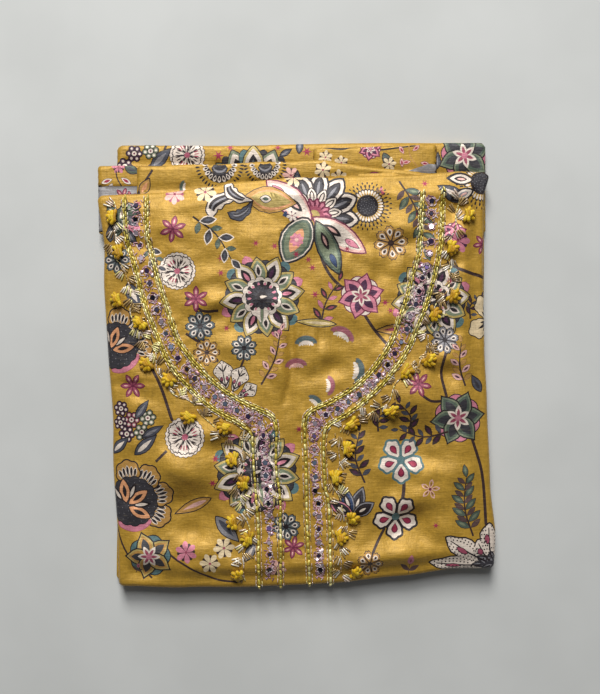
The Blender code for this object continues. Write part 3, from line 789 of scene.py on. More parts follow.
def leaf(spot, length, width, body, line_ink="ink", inner=None, line=INK_LINE):
    """A pointed leaf along +x, with an inner tone."""
    spot.lay(petal(0, length, width, 0.45, 0.9, 1.0), body, line, line_ink)
    if inner:
        spot.lay(petal(length * 0.12, length * 0.80, width * 0.42, 0.42, 0.9, 1.0, 6), inner)


def spray(spot, length, pairs, size, body, inner, stem, bend, line_ink, line, shade=None, slim=0.46):
    """A bending stem with paired leaves; with shade, every other pair is a soft shadow."""
    stem_line = smooth_line([0, length * 0.5 + 1j * bend, length], 5)
    spot.lay(stroke(stem_line, 1.5, 0.8), stem)
    for place in range(pairs + 1):
        share = 0.14 + 0.86 * place / pairs
        spine = complex(np.interp(share * length, stem_line.real, stem_line.real),
                        np.interp(share * length, stem_line.real, stem_line.imag))
        sides = (58, -58) if place < pairs else (4,)
        for side, angle in enumerate(sides):
            long = size * (1.0 - 0.25 * share) * (1.0 if (place + side) % 2 == 0 else 0.8)
            at = spot.within(spine.real, spine.imag, angle * (1 - 0.25 * share))
            if shade and (place + side) % 2 == 1:
                at.lay(petal(0.8, long, long * slim, 0.5, 0.9, 0.9, 6), shade, 0.2, "bark")
            else:
                at.lay(petal(0.8, long, long * slim, 0.5, 0.9, 0.9, 6), body, line, line_ink)
                at.lay(petal(0.3 * long, 0.78 * long, long * 0.17, 0.5, 0.9, 0.9, 5), inner)


def curl_leaf(spot, length, body, inner):
    """A plump leaf that curls over at its tip, with a dark heart and a pale streak."""
    line = smooth_line([0, length * (0.40 + 0.16j), length * (0.80 + 0.12j), length * (1.0 - 0.16j)], 6)
    share = np.linspace(0.0, 1.0, len(line))
    for across, ink, rim in ((0.36, body, 0.9), (0.21, inner, 0.0), (0.05, "stone", 0.0)):
        half = 1j * directions(line) * 0.5 * length * across * np.sin(math.pi * share ** 1.2) ** 0.8
        half = half * (1 + (0.16 if rim else 0.0) * np.cos(TAU * 3.5 * share))
        start, end = (0, len(line)) if rim else (3, len(line) - 3)
        shape = np.concatenate(((line - half)[start:end], (line + half)[start:end][::-1][1:-1]))
        spot.lay(shape, ink, rim)


def crescent_pair(spot, back="teal", front="bone", radius=7.0):
    """A toothed crescent in two tones."""
    spot.lay(crescent(radius, -0.85, 0.85, radius * 0.40, 5), back, 0.5, "haze")
    spot.lay(crescent(radius * 0.72, -0.80, 0.80, radius * 0.30, 6), front)


def fan_bloom(spot, radius, open_to, petals, leaves=3):
    """A dark fan of a flower: scalloped gold petals with dark slots round a speckled body with pale seeds."""
    step = open_to / petals
    for place in range(petals):
        gold = spot.within(0, 0, step * (place + 0.5) - open_to / 2)
        gold.lay(scalloped(radius * 0.31, 7, 0.19, 5) + radius * 0.72, "tan", 1.0)
        for lean in (-15, -7.5, 0, 7.5, 15):
            far = radius * (0.90 - 0.004 * abs(lean))
            slot = gold.within(0, 0, lean)
            slot.lay(petal(radius * 0.56, far, radius * 0.105, 0.62, 0.8, 0.6), "bone")
            slot.lay(petal(radius * 0.60, far - 0.5, radius * 0.066, 0.62, 0.8, 0.6), "ink")
    rim = -math.radians(open_to / 2)
    spot.lay(crescent(radius * 0.66, rim - 1.35, rim + 0.05, radius * 0.18, 7), "pink", 0.4, "rose")
    spot.lay(scalloped(radius * 0.62, 15, 0.10, 5), "charcoal", 0.6)
    for place in range(54):
        reach = radius * 0.56 * math.sqrt((place + 0.5) / 54)
        spot.within(0, 0, 137.5 * place).lay(disc(0.34, 5) + reach, "stone")
    for place in range(leaves):
        at = spot.within(-radius * 0.20, 0, (place - (leaves - 1) / 2) * 62)
        at.lay(petal(radius * 0.08, radius * 0.66, radius * 0.25, 0.5, 0.8, 0.8), "peach", 0.7)
        at.lay(petal(radius * 0.20, radius * 0.52, radius * 0.10, 0.5, 0.8, 0.8), "ink")
        side = spot.within(-radius * 0.20, 0, (place - (leaves - 1) / 2) * 62 + 31)
        side.lay(petal(radius * 0.14, radius * 0.62, radius * 0.17, 0.5, 0.8, 0.8), "ink")
        side.lay(petal(radius * 0.22, radius * 0.54, radius * 0.08, 0.5, 0.8, 0.8), "bone")


def spotted_leaf(spot, length, lobes):
    """A pale lobed leaf with dark streaks, dots along its rim and pink eyes."""
    share = np.linspace(0.0, 1.0, 12 * lobes + 1)
    swell = 1 + 0.22 * np.cos(TAU * (lobes + 0.5) * (1 - share) + math.pi)
    half = length * 0.28 * np.sin(math.pi * share ** 1.35) ** 0.7 * swell
    shape = np.concatenate((length * share - 1j * half, (length * share + 1j * half)[::-1][1:-1]))
    spot.lay(shape, "bone", 0.6)
    spot.lay(stroke(smooth_line([0, length * 0.5 + 0.3j, length * 0.88], 4), 0.9, 0.5), "ink")
    for side in (-1, 1):
        for start in np.linspace(0.08, 0.6, lobes + 1):
            vein = spot.within(length * start, 0, side * 34)
            vein.lay(petal(0, length * 0.30, length * 0.06, 0.4, 0.7, 0.7, 6), "ink")
        for at in np.linspace(0.34, 0.70, lobes):
            spot.lay(petal(-1.6, 1.9, 1.7, 0.5, 0.7, 0.7, 6) + length * (at + 0.10j * side), "rose", 0.35)
        for at in np.linspace(0.14, 0.92, 6 * lobes):
            rim = np.interp(at, share, half) - 1.15
            if rim > 0.6:
                spot.lay(disc(0.52, 6) + length * at + 1j * side * rim, "ink")


def lobed_leaf(spot, lobes):
    """A pale leaf of several lobes in one outline, veined, with dotted rims and rosy eyes."""
    for grow, ink in ((1.1, "ink"), (0.0, "bone")):
        for angle, long, wide in lobes:
            shape = petal(-4, long, wide, 0.58, 0.7, 0.75, 14)
            waves = np.sin(shape.real * TAU / (0.36 * long)) * (shape.real > 0.3 * long)
            shape = shape + 0.05j * wide * waves
            spot.within(0, 0, angle).lay(grown(shape, grow) if grow else shape, ink)
    for angle, long, wide in lobes:
        lobe = spot.within(0, 0, angle)
        lobe.lay(petal(-4, long * 0.34, wide * 0.60, 0.5, 0.8, 0.7), "charcoal")
        lobe.lay(petal(0, long * 0.30, wide * 0.26, 0.5, 0.8, 0.7), "stone")
        lobe.lay(stroke(smooth_line([2, long * 0.45 + 0.9j, long * 0.90], 4), 1.6, 0.7), "ink")
        lobe.lay(petal(long * 0.52, long * 0.74, wide * 0.22, 0.5, 0.7, 0.7, 6) + 0.13j * wide, "rose", 0.5)
        for side in (-1, 1):
            for share in np.linspace(0.22, 0.93, int(long / 3.4)):
                half = 0.5 * wide * math.sin(math.pi * share ** 1.45) ** 0.6
                for row in (1.5, 3.6):
                    if half > row + 0.6:
                        lobe.lay(disc(0.62, 6) + long * share + 1j * side * (half - row), "ink")


def roundel(spot, radius, open_angle):
    """A dark disc in rings of fine rays, white and then dark."""
    rays = 30
    for place in range(rays):
        angle = 360.0 * place / rays - 180
        if abs(angle) <= math.degrees(open_angle) / 2:
            ray = spot.within(0, 0, angle)
            ray.lay(petal(radius * 1.58, radius * 1.98, 1.5, 0.6, 0.8, 0.55, 5), "ink")
            tip = petal(radius * 1.98, radius * 2.26, 1.2, 0.6, 0.8, 0.55, 5)
            spot.within(0, 0, angle + 6).lay(tip, "ink")
            ray.lay(petal(radius * 0.98, radius * 1.62, 2.5, 0.7, 0.8, 0.55, 5), "ink")
            ray.lay(petal(radius * 0.90, radius * 1.46, 1.7, 0.7, 0.8, 0.55, 5), "bone")
    spot.lay(disc(radius, 24), "ink")
    spot.lay(disc(radius * 0.74, 22), "charcoal")
    for place in range(40):
        reach = radius * 0.84 * math.sqrt((place + 0.5) / 40)
        spot.within(0, 0, 137.5 * place).lay(disc(0.30, 5) + reach, "stone")


def half_roundel(spot, radius):
    """Half a roundel: rays along a curved dark edge."""
    for place in range(21):
        ray = spot.within(0, 0, 180.0 * place / 20 - 90)
        ray.lay(petal(radius * 1.08, radius * 1.36, 1.5, 0.6, 0.8, 0.55, 5), "ink")
    spot.lay(crescent(radius * 0.78, -1.6, 1.6, radius * 0.46), "ink")
    for place in range(11):
        ray = spot.within(0, 0, 180.0 * place / 10 - 90)
        ray.lay(petal(radius * 0.62, radius * 0.98, 2.9, 0.6, 0.8, 0.55, 6), "bone")
        ray.lay(petal(radius * 0.68, radius * 0.88, 1.4, 0.6, 0.8, 0.55, 5), "ink")
    spot.lay(crescent(radius * 0.30, -1.5, 1.5, radius * 0.52), "charcoal", 0.5)
    spot.lay(crescent(radius * 0.40, -1.3, 1.3, radius * 0.12), "stone")


def palmette(spot, radius, petals, spread):
    """Half an open flower: long pale-rimmed petals, a frill of short ones and a rosy fan."""
    step = spread / (petals - 1)
    for place in range(petals - 1):
        behind = spot.within(0, 0, step * (place + 0.5) - spread / 2)
        behind.lay(petal(6, radius * 0.84, radius * 0.34, 0.66, 0.8, 0.6), "ink")
    for place in range(petals):
        angle = step * place - spread / 2
        reach = radius * (1.0 - 0.10 * abs(place - (petals - 1) / 2) / (petals / 2))
        leaf = spot.within(0, 0, angle)
        leaf.lay(petal(6, reach, radius * 0.38, 0.62, 0.8, 0.75), "bone", 1.5)
        leaf.lay(petal(9, reach * 0.92, radius * 0.25, 0.62, 0.8, 0.75), "ink")
        leaf.lay(petal(10, reach * 0.87, radius * 0.17, 0.60, 0.8, 0.75), "charcoal")
        leaf.lay(petal(14, reach * 0.80, radius * 0.06, 0.60, 0.8, 0.75), "stone")
    for place in range(petals - 1):
        leaf = spot.within(0, 0, step * (place + 0.5) - spread / 2)
        leaf.lay(petal(5, radius * 0.60, radius * 0.19, 0.6, 0.8, 0.8), "bone", 0.8)
        leaf.lay(petal(8, radius * 0.56, radius * 0.11, 0.6, 0.8, 0.8), "ink")
        leaf.lay(petal(9, radius * 0.52, radius * 0.06, 0.6, 0.8, 0.8), "bone")
    half = math.radians(spread / 2)
    for ink, reach in (("wine", 0.36), ("pink", 0.31), ("rose", 0.22)):
        angle = np.linspace(-half, half, 40)
        rim = radius * reach * np.exp(1j * angle) * (1 + 0.1 * np.cos(angle * 14))
        spot.lay(np.concatenate((rim, [0])), ink)
        for place in range(8 if ink == "pink" else 0):
            spoke = spot.within(0, 0, spread * (place + 0.5) / 8 - spread / 2)
            spoke.lay(petal(radius * 0.10, radius * 0.33, 1.6, 0.7, 0.8, 0.6), "wine")
    angle = np.linspace(-half * 0.8, half * 0.8, 12)
    spot.lay(np.concatenate((radius * 0.13 * np.exp(1j * angle), [0])), "straw")


def bud(spot, size):
    """A bud on a short stem with two leaves."""
    spot.lay(stroke(smooth_line([0, size * 0.6 + 0.2j, size * 1.2], 3), 0.5), "bark")
    spot.lay(petal(size * 1.0, size * 2.0, size * 0.62, 0.45, 0.6, 0.9), "pink")
    spot.lay(petal(size * 1.2, size * 1.6, size * 0.22, 0.45, 0.6, 0.9), "rose")
    for angle in (55, -55):
        leaf(spot.within(size * 0.35, 0, angle), size * 1.1, size * 0.45, "umber", line=0.0)


def stem(sheet, points, width, end_width=None, ink="bark"):
    """A drawn stem through a few places."""
    line = smooth_line([complex(*point) for point in points], 5)
    sheet.shapes.append((counter_clockwise(stroke(line, 1.25 * width, end_width)), ink))


# ---------------- the print, laid out


def strew(sheet, rows):
    """Draw motifs: each row has a motif, the x, y and turn of its spot, and the motif's details."""
    for motif, x, y, turn, *details in rows:
        motif(sheet.spot(x, y, turn), *details)


def composite_flower(sheet):
    """The tall flower at the top middle, with its pod, its leaves, a rayed disc and curled leaves."""
    strew(sheet, (
        (roundel, 53.0, 118.0, 0, 8.2, TAU * 0.80), (palmette, 13.0, 110.5, 52, 35.0, 7, 172.0),
    ))
    for x, y, turn, long, wide, body, tone, line_ink, streak in (
        (11, 108, 138, 44, 19, "blush", "bone", "wine", "pink"),
        (13, 109, -34, 46, 17, "blush", "bone", "wine", "pink"),
        (15, 106, -66, 42, 15, "moss", "sage", "ink", "navy"),
    ):
        at = sheet.spot(x, y, turn)
        at.lay(petal(0, long, wide, 0.5, 0.8, 0.8), body, 1.1, line_ink)
        at.lay(petal(1, long * 0.93, wide * 0.80, 0.5, 0.8, 0.8), tone)
        at.lay(petal(long * 0.20, long * 0.54, wide * 0.34, 0.5, 0.8, 0.8), "ink")
        at.lay(petal(long * 0.27, long * 0.46, wide * 0.13, 0.5, 0.8, 0.8), "blush")
        at.lay(petal(long * 0.62, long * 0.88, wide * 0.26, 0.4, 0.8, 0.9), streak, 0.4)
    pod = sheet.spot(8.5, 108.0, -118)
    pod.lay(petal(0, 36, 23, 0.5, 0.55, 0.75), "bone", 1.5)
    pod.lay(petal(0.9, 34.8, 21.2, 0.5, 0.55, 0.75), "moss")
    pod.lay(petal(3.0, 32.8, 17.0, 0.5, 0.55, 0.75), "sage")
    pod.lay(petal(8.0, 28.0, 9.4, 0.5, 0.7, 0.8), "peach")
    for place in range(8):
        pod.within(17.5, 0, 45 * place).lay(petal(0.6, 5.4, 2.8, 0.6, 0.8, 0.6), "pink")
    pod.within(17.5, 0).lay(disc(1.6, 9), "blush")
    swirl = sheet.spot(0.0, 120.0, 172)
    swirl.lay(petal(0, 38, 20, 0.55, 0.8, 0.8), "tan", 0.6)
    swirl.lay(petal(2, 34, 16, 0.55, 0.8, 0.8), "peach")
    swirl.lay(petal(3, 34, 12, 0.55, 0.8, 0.8), "straw")
    swirl.lay(petal(19, 27, 5.4, 0.5, 0.7, 0.8), "bone", 0.5)
    swirl.lay(petal(20.5, 25.5, 2.6, 0.5, 0.7, 0.8), "moss")
    sheet.spot(-8.0, 111.5, 200).lay(heart(2.6), "navy")
    strew(sheet, (
        (soft_flower, -3.0, 110.5, 10, "bone", "plum", 4.4),
        (curl_leaf, -33, 121, 214, 19, "slate", "charcoal"),
    ))
    curl_leaf(sheet.spot(-39, 125, 204, flip=True), 29, "bone", "ink")
    curl_leaf(sheet.spot(-33, 122, 146), 23, "bone", "ink")


# Sprays: the inks of leaf, inner leaf and stem, the stem's bend, the outline's ink and width, the shadowed
# leaves' ink, and a leaf's width as a share of its length.
SPRAYS = {
    "pale": ("charcoal", "slate", "ink", 4, "bone", 0.75, "moss", 0.46),
    "fern": ("moss", "sage", "bark", 4, "bark", 0.45, "umber", 0.40),
    "rosy": ("blush", "plum", "bark", 3, "bark", 0.25, "tan", 0.46),
    "pinkfern": ("bark", "rose", "bark", 3, "bark", 0.2, "pink", 0.38),
    "dark": ("bark", "plum", "bark", 5, "ink", 0.3, "slate", 0.40),
}


def front_print():
    """The print as it falls on the kameez front."""
    sheet = Print()
    for points, width in (
        (((17, 88), (20, 76), (27, 64), (38, 54)), 1.8), (((50, 38), (58, 26), (70, 12)), 1.8),
        (((112, 14), (108, -6), (112, -26)), 1.7), (((92, -22), (100, -27), (110, -27)), 1.6),
        (((131, -55), (139, -82), (142, -120)), 1.8),
        (((71, -58), (77, -71), (80, -90), (76, -113)), 2.0), (((66, -122), (60, -133), (54, -146)), 1.6),
        (((-82, 50), (-70, 40), (-58, 40)), 1.6), (((-82, 23), (-66, 12), (-58, 2)), 1.6),
        (((-70, 20), (-60, 4)), 1.5), (((-38, 6), (-42, -4)), 1.3),
        (((-109, 0), (-101, -16), (-92, -42)), 1.8), (((-96, -64), (-104, -72)), 1.6),
        (((-108, -128), (-88, -146), (-62, -160), (-44, -163)), 1.2), (((-21, -100), (-14, -92)), 1.2),
        (((112, 76), (124, 70), (146, 64)), 2.0), (((-6, -128), (-4, -140)), 1.0),
        (((-136, -120), (-126, -142), (-108, -160)), 1.1),
    ):
        stem(sheet, points, width)
    composite_flower(sheet)
    strew(sheet, (
        (great_flower, -25.4, 50.2, 8), (great_flower, -29.2, -79.9, 21, 12, 33.0),
        (great_flower, 100.4, 48.0, 6, 12, 29.0), (star_flower, 117.0, 97.0, 20, "pink", 9.0),
        (star_flower, 48.1, 50.9, 15, "pink", 16.5), (star_flower, 120.3, -39.8, 8, "green", 20.0),
        (star_flower, -109.2, -142.6, 38, "gold", 17.6, 5),
        (fan_bloom, -122.0, -102.0, 36, 30.0, 170.0, 4), (fan_bloom, -135.0, 14.0, 40, 28.0, 126.0, 3, 2),
        (bold_five, 77.9, -71.0, 54, "teal", 16.0), (bold_five, 74.2, -113.4, 50, "ink", 16.0),
        (lace_round, -88.6, 69.5, 0, 13.8), (lace_round, -82.7, -53.9, 20, 14.8),
    ))
    for x, y, turn, body, count, size in (
        (-71.5, 28.6, 4, "pewter", 8, 10.8), (-38.8, 12.3, 20, "pewter", 8, 9.6),
        (-7.6, -120.8, 10, "pewter", 8, 10.4), (110.6, 18.2, 12, "stone", 8, 10.2),
        (70.5, 90.3, 8, "tan", 8, 12.6), (-66.5, 9.0, 0, "tan", 8, 9.6), (54.8, -148.0, 0, "tan", 7, 9.6),
        (-134.0, 78.0, 0, "pewter", 8, 10.0),
    ):
        pinwheel(sheet.spot(x, y, turn), body, "bark" if body == "tan" else "ink", count, size)
    for x, y, turn, size in (
        (-91.6, 100.7, 20, 10.2), (-74.5, 48.7, 30, 9.8), (90.5, -14.5, 48, 9.8), (-122.1, -16.0, 0, 9.6),
        (140.0, 90.0, 10, 8.0), (-2.0, -136.0, 20, 8.5),
    ):
        lily(sheet.spot(x, y, turn), size)
    for x, y, size in (
        (9, 78, 2.4), (-56, 68, 2.6), (-30, 90, 2.5), (-16, 88, 2.6), (0, 82, 2.6), (12, 72, 2.6),
        (14, 52, 2.8), (66, 46, 2.6), (70, 40, 2.4), (96, 135, 2.6), (114, 62, 2.6), (-56, 79, 2.6),
        (-52, 27, 2.4), (-60, -70, 2.8), (-62, -88, 2.8), (2, -48, 2.6), (64, 128, 2.2), (-118, 120, 2.4),
        (104, -120, 2.2), (38, 86, 2.2), (90, 112, 2.2),
    ):
        spark(sheet.spot(x, y), size)
    for x, y, turn, long, pairs, size, kind, flip in (
        (-77, 110, -48, 43, 4, 12.5, "pale", False), (77, 137, -70, 54, 8, 13.0, "fern", False),
        (-26, -15, 70, 42, 6, 9.4, "rosy", True), (126, -16, 96, 32, 5, 10.0, "rosy", False),
        (132, -128, 97, 44, 8, 13.0, "fern", False), (113, -50, 178, 36, 5, 10.584, "dark", False),
        (84, -52, 108, 24, 4, 10.416, "dark", True), (51, -88, 96, 38, 6, 10.92, "dark", False),
        (61, -50, 60, 18, 4, 9.576, "dark", False), (-112, 88, -70, 24, 3, 9.0, "pale", False),
        (18, 28, 68, 36, 4, 11.5, "pinkfern", False), (130, 34, 60, 18, 4, 7.224, "dark", False),
    ):
        spray(sheet.spot(x, y, turn, flip=flip), long, pairs, size, *SPRAYS[kind])
    for x, y, body, size in (
        (-131, -33, "plum", 5.0), (-122.8, -41.3, "rose", 5.4), (-110.4, -39.8, "sage", 5.4),
        (-126.5, -52, "plum", 5.4), (-114.9, -50.4, "sage", 5.4), (-131.5, -43.5, "plum", 4.6),
    ):
        blossom(sheet.spot(x, y, x), body, 1.15 * size)
    for x, y, body, between, size in (
        (-91.0, 127.4, "blush", "rose", 7.2), (-68.0, 128.8, "cream", "bark", 7.4),
        (-81.9, -139.9, "pink", "bark", 7.2), (-53.7, -136.6, "cream", "bark", 7.0),
        (-64.1, -148.0, "cream", "bark", 6.8), (-2.0, 140, "cream", "bark", 6.4),
        (-124.0, 102.0, "pink", "moss", 7.0), (120.0, 92.0, "pink", "plum", 8.4),
        (-14.0, -152.0, "blush", "bark", 6.0),
    ):
        soft_flower(sheet.spot(x, y, x), body, between, 1.15 * size)
    line_star(sheet.spot(99.4, -92.6, 6))
    for x, y, turn, back, front, size in (
        (7.5, 8.6, 92, "mist", "bone", 10.6), (36.0, -4.0, -4, "mist", "bone", 12.2),
        (9.0, -33.0, 40, "mist", "bone", 9.4), (30.0, 14.0, 62, "dusk", "bone", 12.4),
        (0.6, -8.0, 96, "dusk", "blush", 10.4), (17.4, -15.6, 0, "dusk", "bone", 9.4),
    ):
        crescent_pair(sheet.spot(x, y, turn), back, front, size)
    for x, y, turn, long, lobes in ((-52, -18, 100, 21, 1), (-47, -20, 66, 20, 1), (-43, -24, 32, 16, 1)):
        spotted_leaf(sheet.spot(x, y, turn), long, lobes)
    lobes = ((178, 47, 11), (150, 41, 15), (96, 31, 16), (124, 22, 17), (204, 26, 14))
    lobed_leaf(sheet.spot(147, -150, 0), lobes)
    # dark petals by the placket's right side
    for turn, long, rim, body in (
        (70, 22, "stone", "charcoal"), (112, 24, "stone", "navy"), (150, 20, "pink", "charcoal"),
        (30, 18, "stone", "ink"),
    ):
        eye_petal(sheet.spot(42, -112, turn), 0, long, 9.5, rim, body, "ink", "bone")
    for x, y, turn, long, wide, body, inner in (
        (-64, -100, 204, 26, 6.5, "tan", "blush"), (29, 30, 176, 26, 4.4, "straw", "cream"),
        (84, 27, 184, 22, 5.6, "tan", "rose"), (-60, -114, -46, 22, 8.5, "stone", "slate"),
        (-119.4, -40, 55, 14, 4.6, "slate", "stone"), (138, -20, 120, 12, 5.0, "slate", "charcoal"),
        (-114.2, -54, 29, 15, 4.6, "slate", "stone"), (-120, -67, 42, 19, 6.6, "slate", "bone"),
        (-138, -66, 42, 15, 6.0, "slate", "bone"), (-38, -146, 60, 14, 5.0, "stone", "bone"),
        (-126, 60, -60, 18, 8.0, "slate", "bone"), (125, 122, 150, 20, 8.5, "slate", "bone"),
        (-131, 118, -20, 14, 8.0, "moss", "sage"),
    ):
        leaf(sheet.spot(x, y, turn), 1.1 * long, 1.2 * wide, body, "ink", inner)
    for x, y, turn, long in (
        (-141, 118, -50, 17), (-130, 108, -118, 16), (-141, 100, 20, 14), (-128, 118, 250, 13),
    ):
        leaf(sheet.spot(x, y, turn), long, 8.0, "moss", "ink", "bone")
        leaf(sheet.spot(x + 2, y - 8, turn + 70), 0.8 * long, 6.0, "slate", "ink", "stone")
    for x, y, turn, size in ((84, -157, 84, 8.0), (60, 128, 40, 3.0), (-120, -156, 70, 4.2)):
        bud(sheet.spot(x, y, turn), size)
    # the flower cut by the fold at the neck's right corner, and the pale petals beside it
    strew(sheet, (
        (roundel, 139, 136, 180, 9.0, TAU),
        (eye_petal, 132, 138, 176, 0, 19, 9, "ink", "bone", "ink", "blush"),
        (eye_petal, 132, 130, 204, 0, 18, 8, "ink", "bone", "stone", "blush"),
    ))
    for x, y, turn in ((147, 34, 122), (147, 32, 206)):
        wing = sheet.spot(x, y, turn)
        wing.lay(frilled(-2, 19, 14), "cream", INK_LINE)
        for lean in (-22, 0, 22):
            wing.within(0, 0, lean).lay(petal(0, 12 - 0.12 * abs(lean), 2.4, 0.5, 0.8, 0.7), "ink")
    return sheet


# Motifs of the scattered print: how much room each needs, how it is drawn, and its details.
LARGE_MOTIFS = (
    (26.0, great_flower), (17.0, star_flower, "green", 19.0), (16.0, bold_five, "teal", 16.0),
    (15.0, star_flower, "pink", 16.0), (13.0, lace_round), (20.0, fan_bloom, 24.0, 300.0, 6),
    (16.0, star_flower, "gold", 17.0, 5),
)
SMALL_MOTIFS = (
    (10.0, pinwheel), (9.5, lily), (7.0, soft_flower), (11.0, pinwheel, "tan", "bark"), (7.0, line_star),
    (6.0, blossom), (7.0, soft_flower, "cream"), (3.0, spark),
    (9.0, spray, 22, 3, 7.6, "charcoal", "slate", "bark", 4, "bone", 0.5, "moss"),
    (9.0, spray, 24, 4, 7.4, "ruby", "wine", "bark", 3, "blush", 0.45, "tan"),
    (8.0, leaf, 18, 7, "slate", "ink", "stone"), (8.0, crescent_pair),
    (9.0, spray, 26, 5, 7.6, "sage", "moss", "bark", 4, "plum", 0.25), (3.0, spark),
)
LARGE_ROUNDS = 7         # how often each large motif is tried
SMALL_SHARE = 240        # square millimetres of cloth for each small motif that is tried


def spread_print(width, length, seed):
    """The same print scattered over a plain cut, for the pieces and sides that show less of it."""
    sheet = Print()
    rng = np.random.default_rng(seed)
    taken = []

    def try_place(tries, margin, reach, motif, *details):
        """Draw a motif at the first of a few random places that is clear of the others, if there is one."""
        for _ in range(tries):
            x, y = rng.uniform(-width / 2, width / 2), rng.uniform(-length / 2, length / 2)
            turn = rng.uniform(0, 360)
            if all(math.hypot(x - a, y - b) > reach + other + margin for a, b, other in taken):
                taken.append((x, y, reach))
                motif(sheet.spot(x, y, turn), *details)
                return

    for place in range(LARGE_ROUNDS * len(LARGE_MOTIFS)):
        try_place(12, 9.0, *LARGE_MOTIFS[place % len(LARGE_MOTIFS)])
    for place in range(int(width * length / SMALL_SHARE)):
        try_place(5, 1.5, *SMALL_MOTIFS[place % len(SMALL_MOTIFS)])
    return sheet


# ---------------- finishes


class Value:
    """A value in a material, to do plain arithmetic with."""

    def __init__(self, finish, socket):
        self.finish, self.socket = finish, socket

    def __add__(self, other):
        return self.finish.maths("ADD", self, other)

    def __sub__(self, other):
        return self.finish.maths("SUBTRACT", self, other)

    def __rsub__(self, other):
        return self.finish.maths("SUBTRACT", other, self)

    def __mul__(self, other):
        return self.finish.maths("MULTIPLY", self, other)

    __radd__ = __add__
    __rmul__ = __mul__

    def between(self, low, high):
        """0 at low, 1 at high, held outside."""
        spread = self.finish.node("ShaderNodeMapRange", {"interpolation_type": "SMOOTHSTEP"},
                                  {"Value": self, "From Min": low, "From Max": high})
        return spread("Result")


class Finish:
    """One material."""

    def __init__(self, name, **plain):
        self.material = bpy.data.materials.new(name)
        self.material.use_nodes = True
        self.tree = self.material.node_tree
        self.shader = self.tree.nodes["Principled BSDF"]
        for socket, value in plain.items():
            self.shader.inputs[socket.replace("_", " ")].default_value = value

    def node(self, kind, settings, inputs):
        """Add a node: its settings first, then its inputs; gives a function that reads its outputs."""
        made = self.tree.nodes.new(kind)
        for name, value in settings.items():
            setattr(made, name, value)
        for name, value in inputs.items():
            self.feed(made.inputs[name], value)
        return lambda output: Value(self, made.outputs[output])

    def surface(self, name, value):
        """Feed a value to one of the shader's own sockets."""
        self.feed(self.shader.inputs[name], value)

    def feed(self, socket, value):
        """Link a value to a socket, or set the socket."""
        if isinstance(value, Value):
            self.tree.links.new(value.socket, socket)
        else:
            socket.default_value = value

    def maths(self, operation, *values):
        """One Math node."""
        return self.node("ShaderNodeMath", {"operation": operation}, dict(enumerate(values)))("Value")

    def tint(self, factor, first, second, mode="MIX"):
        """Mix two colours."""
        mixed = self.node("ShaderNodeMix", {"data_type": "RGBA", "blend_type": mode},
                          {0: factor, 6: first, 7: second})
        return mixed(2)

    def noise(self, scale, detail, rough=0.5, stretch=(1.0, 1.0, 1.0)):
        """Noise with a size, stretched along the axes; a scale of 1000 gives patches of a millimetre."""
        place = self.node("ShaderNodeTexCoord", {}, {})("Object")
        place = self.node("ShaderNodeVectorMath", {"operation": "MULTIPLY"}, {0: place, 1: stretch})("Vector")
        return self.node("ShaderNodeTexNoise", {}, {"Vector": place, "Scale": scale, "Detail": detail,
                                                    "Roughness": rough})("Fac")

    def colours(self, layer):
        """A colour that the mesh holds."""
        return self.node("ShaderNodeAttribute", {"attribute_name": layer}, {})("Color")

    def raise_by(self, height, distance, strength):
        """A bump of some height in millimetres."""
        bump = self.node("ShaderNodeBump", {}, {"Height": height, "Distance": distance * METRE,
                                                "Strength": strength})
        self.surface("Normal", bump("Normal"))


def grey(value):
    """One grey as a colour."""
    return (value, value, value, 1.0)


def printed_silk():
    """Printed silk: uneven yarns, a mottled ground, broad patches of partly painted shade and a soft sheen.
    """
    silk = Finish("printed_silk", Sheen_Weight=0.06, Sheen_Roughness=0.45, IOR=1.46, Metallic=0.22)
    weft = silk.noise(900, 3.0, 0.6, (0.09, 1.0, 0.6))
    warp = silk.noise(900, 3.0, 0.6, (1.0, 0.08, 0.6))
    slub = weft.between(0.58, 0.74)
    # broad patches about 14 mm across: partly the silk's own uneven tone, partly painted shade standing for
    # the light and dark of soft folds
    cloud = silk.noise(70, 3.0, 0.6)
    mottle = silk.noise(330, 4.0, 0.65)
    fleck = silk.noise(800, 3.0, 0.7, (0.8, 1.3, 1.0)).between(0.56, 0.70)
    crinkle = silk.noise(170, 3.0, 0.55, (0.7, 1.2, 1.0))
    colour = silk.colours("print")
    shade = 0.56 + 0.36 * cloud + 0.54 * mottle - 0.22 * fleck + 0.42 * (weft - 0.5) + 0.38 * (warp - 0.5)
    shade_colour = silk.node("ShaderNodeCombineColor", {}, {0: shade, 1: shade * 0.99, 2: shade * 0.96})
    colour = silk.tint(1.0, colour, shade_colour("Color"), "MULTIPLY")
    colour = silk.tint(slub * 0.10, colour, (0.80, 0.62, 0.30, 1.0))
    silk.surface("Base Color", colour)
    silk.surface("Roughness", 0.50 - 0.08 * slub + 0.10 * (mottle - 0.5))
    silk.raise_by(weft + warp * 0.6 + mottle * 1.3 + crinkle * 1.6, 0.25, 0.8)
    return silk.material


def glass_beads():
    """Lined glass beads: a bright core under clear glass."""
    glass = Finish("glass_beads", Coat_Weight=0.8, Coat_Roughness=0.12, IOR=1.5)
    uneven = glass.noise(500, 2.0)
    colour = glass.tint(uneven.between(0.3, 0.7), glass.colours("tint"), grey(0.75), "MULTIPLY")
    glass.surface("Base Color", colour)
    glass.surface("Metallic", 0.12 + 0.2 * uneven)
    glass.surface("Roughness", 0.28 + 0.18 * uneven)
    return glass.material


def mirror_glass():
    """Small mirrors, slightly worn."""
    mirror = Finish("mirror_glass", Coat_Weight=0.6, Coat_Roughness=0.15)
    wear = mirror.noise(1200, 3.0, 0.6)
    # for the mirrors, the tint read here is partly painted reflection, set mirror by mirror
    colour = mirror.tint(wear.between(0.45, 0.75), mirror.colours("tint"), grey(0.5), "MULTIPLY")
    mirror.surface("Base Color", colour)
    mirror.surface("Metallic", 0.9 - 0.3 * wear)
    mirror.surface("Roughness", 0.22 + 0.20 * wear)
    return mirror.material


